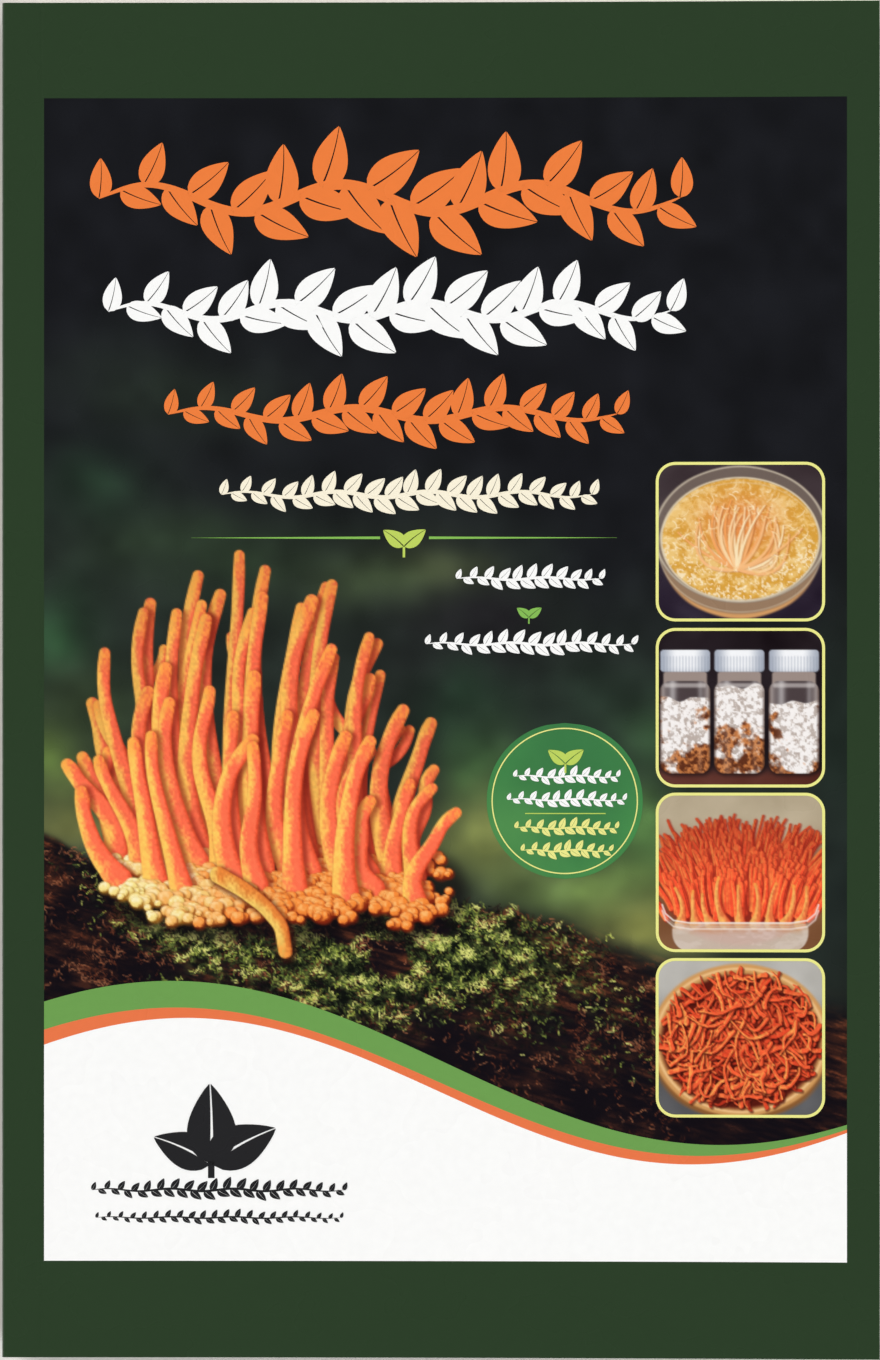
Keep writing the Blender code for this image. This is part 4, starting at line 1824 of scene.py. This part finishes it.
@dataclass
class CoverPrint:
    """Everything printed on the outside of the cover.

    Attributes:
        book: The book's sizes.
        left: The picture panel's left edge, in millimetres across.
        right: Its right edge.
        top: Its upper edge, down from the head.
        bottom: Its lower edge.
        picture_lift: How far the picture's film stands off the card, in metres.
        mark_lift: The same for marks that are printed over the picture.
        film: How thick a film is. Real ink is thinner. This much keeps each film clear of the one below it.
        badge: The round badge's middle.
        badge_radius: Its radius.
        waves: The upper edges of the green band, the orange band and the white foot.
        vines: The rows of leaves.
    """

    book: Book
    left: float = 6.75
    right: float = 134.5
    top: float = 15.24
    bottom: float = 200.5
    picture_lift: float = 0.02 * MM
    mark_lift: float = 0.045 * MM
    film: float = 0.02 * MM
    badge: tuple[float, float] = (89.7, 127.2)
    badge_radius: float = 12.4
    waves: Sequence[Wave] = (
        Wave(168.9, 13.0, 27.0, 87.3), Wave(171.9, 11.75, 27.8, 83.3), Wave(173.4, 11.6, 29.4, 80.2),
    )
    vines: Sequence[Vine] = (
        Vine("title_vine_first", Ink.ORANGE, 15.5, 108.0, 31.2, 2.2, 3.0, 1.7, 27, 10.2, 50.0),
        Vine("title_vine_second", Ink.WHITE, 17.0, 106.5, 49.2, 1.3, 4.0, 1.4, 31, 8.8, 44.0),
        Vine("title_vine_third", Ink.ORANGE, 26.5, 98.0, 65.6, 1.0, 3.0, 1.2, 29, 6.6, 47.0),
        Vine("subtitle_vine", Ink.CREAM, 35.0, 94.0, 78.4, 0.45, 4.0, 0.7, 37, 4.2, 46.0),
        Vine("byline_vine_first", Ink.WHITE, 72.5, 95.3, 91.8, 0.2, 2.0, 0.4, 21, 2.7, 46.0),
        Vine("byline_vine_second", Ink.WHITE, 67.6, 100.4, 102.2, 0.2, 3.0, 0.4, 29, 2.7, 46.0),
        Vine("badge_vine_first", Ink.WHITE, 81.6, 98.0, 123.3, 0.15, 2.0, 0.26, 19, 1.9, 46.0),
        Vine("badge_vine_second", Ink.WHITE, 80.6, 99.0, 127.0, 0.15, 2.0, 0.26, 21, 1.9, 46.0),
        Vine("badge_vine_third", Ink.FRAME_YELLOW, 81.8, 97.8, 131.5, 0.15, 2.0, 0.26, 19, 1.9, 46.0),
        Vine("badge_vine_fourth", Ink.FRAME_YELLOW, 82.8, 96.8, 135.1, 0.15, 2.0, 0.26, 17, 1.9, 46.0),
        Vine("foot_vine_first", Ink.BLACK, 14.4, 54.4, 189.2, 0.2, 4.0, 0.36, 39, 2.2, 46.0),
        Vine("foot_vine_second", Ink.BLACK, 15.0, 54.0, 193.6, 0.12, 4.0, 0.24, 43, 1.5, 46.0),
    )

    def __post_init__(self) -> None:
        """Prepares the picture, the front cover's layers of ink, and the ornament's tree and stamp."""
        front = self.book.front()
        self.base = Layer(front, self.picture_lift)
        self.mark, self.over, self.round, self.high = (
            Layer(front, self.mark_lift + films * self.film) for films in (0.0, 1.0, 1.5, 2.0)
        )
        self.picture = ForestPicture(top=self.top)
        self.recipe = vine_recipe()
        self.stamp = bpy.data.objects.new("leaf_stamp", LeafStamp(wide=0.27, rib=0.014).mesh(self.film))
        bpy.context.scene.collection.objects.link(self.stamp)

    def painted(self, name: str, painter: Painter, layer: Layer, corner: float = 0.0) -> Piece:
        """A painted film, in a layer."""
        return Piece(name, painter.film(name, layer, self.film, corner), ("picture",))

    def tile(self, name: str, box: Row, pitch: float) -> Piece:
        """One part of the main picture, as a film of its own."""
        return self.painted(name, self.picture.paint(Painter(*box, pitch)), self.base)

    def outline(self, name: str, rows: Net, ink: Ink, layer: Layer, wrap: bool = False) -> Piece:
        """A flat mark from its edges.

        Args:
            name: The piece's name.
            rows: Its upper, or outer, edge and its lower, or inner, one: points across and down.
            ink: Its ink.
            layer: The layer that it is printed in.
            wrap: Whether it closes on itself.

        Returns:
            The piece.
        """
        across, down = rows[..., 0], rows[..., 1]
        points = layer.face.spot(across, down, layer.lift)
        # The film's underside is towards the book, against the way that its upper side faces.
        under = layer.face.spot(across, down, layer.lift - MM) - points
        return Piece(name, film_mesh(name, points, self.film, wrap, under / MM), (ink,))

    def between(self, upper: Net, lower: Net, across: Net, rows: int = 2) -> Net:
        """Rows of points from one edge to another, over the same places across."""
        down = upper + (lower - upper) * np.linspace(0.0, 1.0, rows)[:, None]
        return np.stack([np.broadcast_to(across, down.shape), down], -1)

    def swashes(self) -> list[Piece]:
        """The green and the orange wave, and the white foot of the panel under them.

        Returns:
            The three pieces.
        """
        across = np.linspace(self.left, self.right, 140)
        green, orange, white = (wave.at(across) for wave in self.waves)
        gap = 0.06
        orange, white = np.maximum(orange, green + gap), np.maximum(white, orange + gap)
        bands = (
            ("wave_green", green, orange, 2, Ink.BAND_GREEN),
            ("wave_orange", orange, white, 2, Ink.BAND_ORANGE),
            ("panel_foot_white", white, np.full_like(across, self.bottom), 12, Ink.WHITE),
        )
        return [
            self.outline(name, self.between(upper, lower, across, rows), ink, self.mark)
            for name, upper, lower, rows, ink in bands
        ]

    def ring(self, name: str, centre: Row, radius: float, width: float, ink: Ink) -> Piece:
        """A thin printed ring.

        Args:
            name: The piece's name.
            centre: Its middle, across and down.
            radius: Its radius.
            width: Its line's width.
            ink: Its ink.

        Returns:
            The piece.
        """
        turn = np.linspace(0.0, TAU, 128, endpoint=False)
        way = np.stack([np.cos(turn), np.sin(turn)], -1)
        rows = np.stack([np.asarray(centre) + way * (radius + side * width / 2.0) for side in (1.0, -1.0)])
        return self.outline(name, rows, ink, self.round, wrap=True)

    def frame_round(self, picture: SmallPicture, name: str, width: float = 0.46) -> Piece:
        """The pale line round a small picture.

        Args:
            picture: The small picture.
            name: The piece's name.
            width: The line's width, in millimetres.

        Returns:
            The piece.
        """
        quarter = np.linspace(0.0, math.pi / 2.0, 12)
        half = np.array((picture.width, picture.height)) / 2.0
        rows = []
        for grow in (width / 2.0, -width / 2.0):
            points = []
            for corner, (side, drop) in enumerate(((1, 1), (-1, 1), (-1, -1), (1, -1))):
                middle = picture.middle + (half - picture.corner) * (side, drop)
                angle = quarter + corner * math.pi / 2.0
                way = np.stack([np.cos(angle), np.sin(angle)], -1)
                points.append(middle + way * (picture.corner + grow))
            rows.append(np.concatenate(points))
        return self.outline(name, np.stack(rows), Ink.FRAME_YELLOW, self.round, wrap=True)

    def rule(self, name: str, ends: Row, down: float, width: float, ink: Ink, swell: float) -> Piece:
        """A thin printed line that swells from a fine point.

        Args:
            name: The piece's name.
            ends: Where it begins and ends, across.
            down: Its middle, down from the head.
            width: Its full width.
            ink: Its ink.
            swell: How it swells, as a power, from its left, or from its right where this is below 0.

        Returns:
            The piece.
        """
        across = np.linspace(*ends, 40)
        share = (across - ends[0]) / (ends[1] - ends[0])
        half = width / 2.0 * np.clip(np.where(swell > 0, share, 1.0 - share), 0.04, 1.0) ** abs(swell)
        return self.outline(name, self.between(down - half, down + half, across), ink, self.over)

    def sprout(
        self, name: str, at: Row, size: float, ink: Ink, layer: Layer, tall: bool = False
    ) -> list[Piece]:
        """A printed sprout of leaves on a short stem.

        Args:
            name: The start of its pieces' names.
            at: Where its leaves meet, across and down.
            size: A leaf's length.
            ink: Its ink.
            layer: The layer that it is printed in.
            tall: Whether a third leaf stands upright between the two.

        Returns:
            Its stem and its leaves.
        """
        leaves = [("right", -47.0, 1.0, -0.16), ("left", -132.0, 0.96, 0.16)]
        if tall:
            leaves = [("right", -38.0, 1.0, -0.16), ("left", -146.0, 0.86, 0.16)]
            leaves.append(("middle", -88.0, 1.1, 0.05))
        half, down = size * 0.045, np.array((-0.04 * tall, 0.4 - 0.2 * tall)) * size + at[1]
        stem = self.between(np.full(2, down[0]), np.full(2, down[1]), np.array((at[0] - half, at[0] + half)))
        pieces = [self.outline(f"{name}_stem", stem, ink, layer)]
        for number, (side, turn, share, bend) in enumerate(leaves, 1):
            mesh = LeafStamp(bend=bend, wide=0.3, rib=0.022).mesh(self.film / (size * share * MM))
            places = np.zeros(len(mesh.vertices) * 3)
            mesh.vertices.foreach_get("co", places)
            mesh.vertices.foreach_set("co", places * size * share * MM)
            # Each leaf lies a hair above the one before, as in a vine.
            above = Layer(layer.face, layer.lift + number * 0.004 * MM)
            pieces.append(Piece(f"{name}_{side}_leaf", settle(mesh, above, at, turn), (ink,)))
        return pieces

    def vine(self, vine: Vine, finishes: Finishes, layer: Layer, turn_deg: float = 0.0) -> Piece:
        """One vine, grown by its tree and laid in a layer.

        Args:
            vine: The vine.
            finishes: Every finish of the book.
            layer: The layer that it is printed in.
            turn_deg: How far it turns to the right.

        Returns:
            The piece.
        """
        mesh = vine.mesh(self.recipe, self.stamp, finishes[vine.ink], self.film)
        mesh.materials.clear()
        return Piece(vine.name, settle(mesh, layer, (vine.left, vine.down), turn_deg), (vine.ink,))

    def front(self, finishes: Finishes) -> list[Piece]:
        """Every mark on the front cover.

        Args:
            finishes: Every finish of the book.

        Returns:
            The pieces.
        """
        fine, small_pitch = ((0.2, 0.16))
        pieces = [
            self.tile("picture_wood", (self.left, self.top, self.right, 84.0), 1.2),
            self.tile("picture_clump_left", (self.left, 84.0, 44.0, 162.0), fine),
            self.tile("picture_clump_right", (44.0, 84.0, 80.0, 176.0), fine),
            self.tile("picture_wood_right", (80.0, 84.0, self.right, 140.0), 0.8),
            self.tile("picture_log_right", (80.0, 140.0, self.right, 184.0), fine * 1.15),
            *self.swashes(),
        ]
        for kind, top in zip(Specimen, (73.5, 99.9, 126.1, 152.4)):
            small = SmallPicture(kind, top, pitch=small_pitch)
            pieces += [
                self.painted(f"small_picture_{kind.value}", small.paint(), self.mark, small.corner),
                self.frame_round(small, f"small_frame_{kind.value}"),
            ]
        return [
            *pieces,
            *self.badge_pieces(),
            self.rule("title_rule_left", (30.2, 60.3), 85.3, 0.42, Ink.LEAF_GREEN, 0.8),
            self.rule("title_rule_right", (68.1, 98.0), 85.3, 0.42, Ink.LEAF_GREEN, -0.8),
            *self.sprout("title_sprout", (64.1, 86.7), 4.3, Ink.SPROUT, self.over),
            *self.sprout("byline_sprout", (84.0, 98.0), 2.5, Ink.LEAF_GREEN, self.over),
            *self.sprout("foot_sprout", (33.4, 185.0), 11.5, Ink.BLACK, self.high, tall=True),
            *self.sprout("badge_sprout", (89.8, 121.3), 3.6, Ink.SPROUT, self.high),
            self.rule("badge_rule", (83.4, 96.2), 129.2, 0.16, Ink.SPROUT, 0.01),
            *[self.vine(vine, finishes, self.over) for vine in self.vines],
        ]

    def badge_pieces(self) -> list[Piece]:
        """The round green badge, through which the wood behind just shows, and its ring.

        Returns:
            The two pieces.
        """
        (across, down), radius = self.badge, self.badge_radius
        painter = Painter(across - radius, down - radius, across + radius, down + radius, 0.3)
        self.picture.wood(painter)
        painter.colour[:] = mix(painter.colour * 1.15, "#3F8A4C", np.full(painter.across.shape, 0.8))
        return [
            self.painted("badge_disc", painter, self.mark, radius - 0.12),
            self.ring("badge_ring", self.badge, 11.55, 0.2, Ink.FRAME_YELLOW),
        ]

    def others(self, finishes: Finishes) -> list[Piece]:
        """The marks on the spine, the back cover and the first page.

        Args:
            finishes: Every finish of the book.

        Returns:
            The pieces.
        """
        book, black = self.book, Ink.BLACK
        spine, back, page = (
            Layer(face, self.picture_lift) for face in (book.spine(), book.back(), book.title_page())
        )
        middle, width = book.cover_z / MM / 2.0, 139.7
        painter = Painter(width - self.right, self.top, width - self.left, 176.0, 2.0)
        self.picture.wood(painter)
        spine_vine = Vine("spine_vine", Ink.CREAM, middle, middle + 92.0, 52.0, 0.5, 6.0, 0.5, 43, 2.9, 46.0)
        page_vines = (
            Vine("title_page_vine_first", black, 34.0, 106.0, 52.0, 1.4, 3.0, 0.7, 25, 6.0, 48.0),
            Vine("title_page_vine_second", black, 50.0, 90.0, 66.0, 0.5, 3.0, 0.4, 21, 3.0, 48.0),
            Vine("title_page_vine_foot", black, 58.0, 82.0, 186.0, 0.2, 2.0, 0.3, 15, 2.2, 48.0),
        )
        return [
            self.painted("picture_back", painter, back),
            self.vine(spine_vine, finishes, spine, 90.0),
            *self.sprout("spine_sprout", (middle, 30.0), 3.4, Ink.SPROUT, spine),
            *[self.vine(vine, finishes, page) for vine in page_vines],
            *self.sprout("title_page_sprout", (70.0, 112.0), 12.0, black, page, tall=True),
        ]

    def build(self, finishes: Finishes) -> None:
        """Lays every mark on its face and removes the stamp.

        Args:
            finishes: Every finish of the book.
        """
        for piece in self.front(finishes):
            piece.show(finishes, "front_cover")
        for piece in self.others(finishes):
            piece.show(finishes, "book_block")
        bpy.data.objects.remove(self.stamp)


@dataclass
class TextBlock:
    """The block of trimmed leaves.

    Attributes:
        book: The book's sizes.
        columns: A leaf's points across.
        rows: Its points down.
        flat_points: Both for a leaf that lies flat.
        bundle: How many leaves cling together. A painted shade drifts over bundles of this many.
        seed: Sets the tones.
    """

    book: Book
    columns: int = 22
    rows: int = 20
    flat_points: int = 6
    bundle: int = 4
    seed: int = 12

    def tones(self, count: int) -> Net:
        """How light each leaf is: its own tone, times a painted shade for the shadows between bundles.

        A single leaf is too thin to show from the side, so a painted shade also drifts over bundles of a few
        leaves. It stands for the shadows between them in a real block.

        Args:
            count: How many leaves there are.

        Returns:
            A tone with its painted shade for each.
        """
        draw = np.random.default_rng(self.seed)
        knots = np.arange(0, count + self.bundle, self.bundle)
        # A painted shade drifts over bundles of leaves, and each leaf's own tone differs a little at random.
        bundle_shade = np.interp(np.arange(count), knots, draw.uniform(0.80, 1.0, len(knots)))
        return np.clip(bundle_shade * draw.uniform(0.88, 1.04, count), 0.62, 1.0)

    def build(self, finishes: Finishes) -> None:
        """Makes every leaf in place of the frame's.

        Args:
            finishes: Every finish of the book.
        """
        book, recipe, count = self.book, leaf_recipe(), self.book.leaf_count()
        tones = self.tones(count)
        for number in range(1, count + 1):
            name = f"leaf_{number:02d}"
            low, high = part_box(name)
            rise = max(high.z - low.z - book.paper, 0.0)
            ripple = book.ripples[number - 1] if number <= len(book.ripples) else 0.0
            mesh = recipe.mesh(f"{name}_sheet", {
                "Width": high.x - low.x, "Height": high.y - low.y, "Left": low.x, "Level": low.z,
                "Flat": book.score_x - low.x, "Rise": rise, "Power": book.power, "Ripple": ripple,
                "Ripple Length": book.ripple_length(number), "Thickness": book.paper,
                "Columns": self.columns if rise else self.flat_points,
                "Rows": self.rows if rise else self.flat_points,
                "Material": finishes["paper"],
            })
            mesh.materials.clear()
            # Each leaf's colour is its own tone times its bundle's painted shade. The top leaf is left
            # plain.
            tone = 1.0 if number == 1 else tones[number - 1]
            set_vertex_colours(mesh, np.array((tone, tone, tone, 1.0)))
            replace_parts(Piece(f"{name}_sheet", mesh, ("paper",)).show(finishes, "book_block"), name)


@dataclass
class Glue:
    """The hot-melt glue along the spine and beside the two scores.

    Attributes:
        slices: How many stations each strip has along its length.
        unevenness: How much of its thickness the strip's surface wanders, as melted glue does.
    """

    slices: int = 48
    unevenness: float = 0.16

    def strip(self, node: str) -> Piece:
        """One strip, inside the frame's solid.

        Args:
            node: The frame's node.

        Returns:
            The piece.
        """
        low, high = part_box(node)
        size, middle = high - low, (high + low) / 2.0
        made = bmesh.new()
        bmesh.ops.create_cube(made, size=1.0)
        for k in range(1, self.slices):
            cut = (0.0, k / self.slices - 0.5, 0.0)
            geometry = made.verts[:] + made.edges[:] + made.faces[:]
            bmesh.ops.bisect_plane(made, geom=geometry, plane_co=cut, plane_no=(0.0, 1.0, 0.0))
        for axis in ((1.0, 0.0, 0.0), (0.0, 0.0, 1.0)):
            for share in (-0.3, 0.0, 0.3):
                geometry = made.verts[:] + made.edges[:] + made.faces[:]
                at = [value * share for value in axis]
                bmesh.ops.bisect_plane(made, geom=geometry, plane_co=at, plane_no=axis)
        noise = Noise(len(node))
        for vertex in made.verts:
            x, y, z = vertex.co
            wander = float(noise.at(np.array(y * 42.0 + 50.0), np.array(x * 1.7 + z * 2.3 + 9.0)))
            shrink = 1.0 - self.unevenness * wander
            vertex.co = (
                middle.x + x * size.x * shrink,
                middle.y + y * size.y * (1.0 - 0.004 * wander),
                middle.z + z * size.z * shrink,
            )
        mesh = bpy.data.meshes.new(f"{node}_bead")
        made.to_mesh(mesh)
        made.free()
        return Piece(f"{node}_bead", mesh, ("hot_melt",), 60.0)

    def build(self, finishes: Finishes) -> None:
        """Makes every strip in place of the frame's."""
        for node in ("spine_glue", "side_glue_front", "side_glue_back"):
            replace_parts(self.strip(node).show(finishes, "book_block"), node)


@dataclass
class Studio:
    """The pale floor, the soft lights and the camera, which looks straight down on the cover.

    Attributes:
        book: The book's sizes.
        lens: The camera's lens, in millimetres.
        sensor: The width of its sensor.
        fill: How much of the picture's height the cover takes.
        power: How bright the lamps are.
        softness_deg: How wide each lamp looks from the book.
        walls: How bright the walls are.
        ceiling: How bright the ceiling is.
        wall: Where the walls end and the ceiling begins, as a direction's height.
        floor_size: Half the floor's width. It reaches past what a low view sees.
        floor_drop: How far it lies under the book.
    """

    book: Book
    lens: float = 85.0
    fill: float = 0.996
    sensor: float = 36.0
    power: float = 1.13
    softness_deg: float = 38.0
    walls: float = 0.7
    ceiling: float = 0.03
    wall: tuple[float, float] = (0.25, 0.75)
    floor_size: float = 40.0
    floor_drop: float = 0.05 * MM

    def floor(self, finishes: Finishes) -> None:
        """Lays the seamless paper under the book.

        Args:
            finishes: Every finish of the book.
        """
        grid = bmesh.new()
        bmesh.ops.create_grid(grid, x_segments=1, y_segments=1, size=self.floor_size)
        mesh = bpy.data.meshes.new("studio_floor")
        grid.to_mesh(mesh)
        grid.free()
        mesh.materials.append(finishes["sweep"])
        floor = bpy.data.objects.new("studio_floor", mesh)
        floor.location.z = -self.floor_drop
        bpy.context.scene.collection.objects.link(floor)

    def lamp(self, name: str, way: Row, strength: float, colour: str) -> None:
        """A broad, distant softbox, which lights the paper evenly as far as it goes.

        Args:
            name: The lamp's name.
            way: The direction that it stands in, from the book.
            strength: Its light on a sheet that faces it.
            colour: Its colour.
        """
        data = bpy.data.lights.new(name, "SUN")
        data.energy, data.angle = strength, math.radians(self.softness_deg)
        data.color = linear(colour)[:3]
        lamp = bpy.data.objects.new(name, data)
        lamp.location = way
        lamp.rotation_euler = (-lamp.location).to_track_quat("-Z", "Y").to_euler()
        # A polarising filter keeps each lamp's glare off the laminate. The walls give the gloss.
        lamp.visible_glossy = False
        bpy.context.scene.collection.objects.link(lamp)

    def air(self) -> bpy.types.World:
        """The studio's walls, pale all round, and its ceiling, dark where the laminate would mirror it.

        Returns:
            The world.
        """
        world = bpy.data.worlds.new("studio_air")
        world.use_nodes = True
        tree = world.node_tree
        way = add_node(tree, "ShaderNodeTexCoord").outputs["Generated"]
        height = add_node(tree, "ShaderNodeSeparateXYZ", {"Vector": way}).outputs["Z"]
        turn = {"Value": height, "From Min": self.wall[0], "From Max": self.wall[1]}
        turn |= {"To Min": self.walls, "To Max": self.ceiling}
        bright = add_node(tree, "ShaderNodeMapRange", turn, interpolation_type="SMOOTHSTEP")
        background = tree.nodes["Background"]
        background.inputs["Color"].default_value = linear("#F6F7F9")
        tree.links.new(bright.outputs[0], background.inputs["Strength"])
        return world

    def build(self, finishes: Finishes) -> None:
        """Sets the studio up.

        Args:
            finishes: Every finish of the book.
        """
        scene = bpy.context.scene
        self.floor(finishes)
        self.lamp("key_softbox", (-1.3, 1.1, 1.5), 1.75 * self.power, "#FFFCF7")
        self.lamp("fill_softbox", (1.2, -1.3, 1.5), 1.25 * self.power, "#F8FBFF")
        self.lamp("back_softbox", (0.9, 1.4, 1.5), 0.6 * self.power, "#FFFFFF")
        scene.world = self.air()
        scene.view_settings.view_transform = "Standard"
        camera = bpy.data.objects.new("camera", bpy.data.cameras.new("camera"))
        camera.data.lens, camera.data.sensor_width = self.lens, self.sensor
        camera.data.clip_start, camera.data.clip_end = 0.01, 120.0
        distance = 2.0 * self.book.head_y / self.fill * self.lens / self.sensor
        camera.location = (0.0, 0.0, self.book.cover_z + distance)
        scene.collection.objects.link(camera)
        scene.camera = camera


def main() -> None:
    """Builds the book piece by piece, then the studio round it."""
    logging.basicConfig(level=logging.INFO, format="%(name)s %(message)s")
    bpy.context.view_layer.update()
    finishes = Finishes()
    book = Book()
    CoverCard(book).build(finishes)
    CoverPrint(book).build(finishes)
    TextBlock(book).build(finishes)
    Glue().build(finishes)
    Studio(book).build(finishes)


if __name__ == "__main__":
    main()
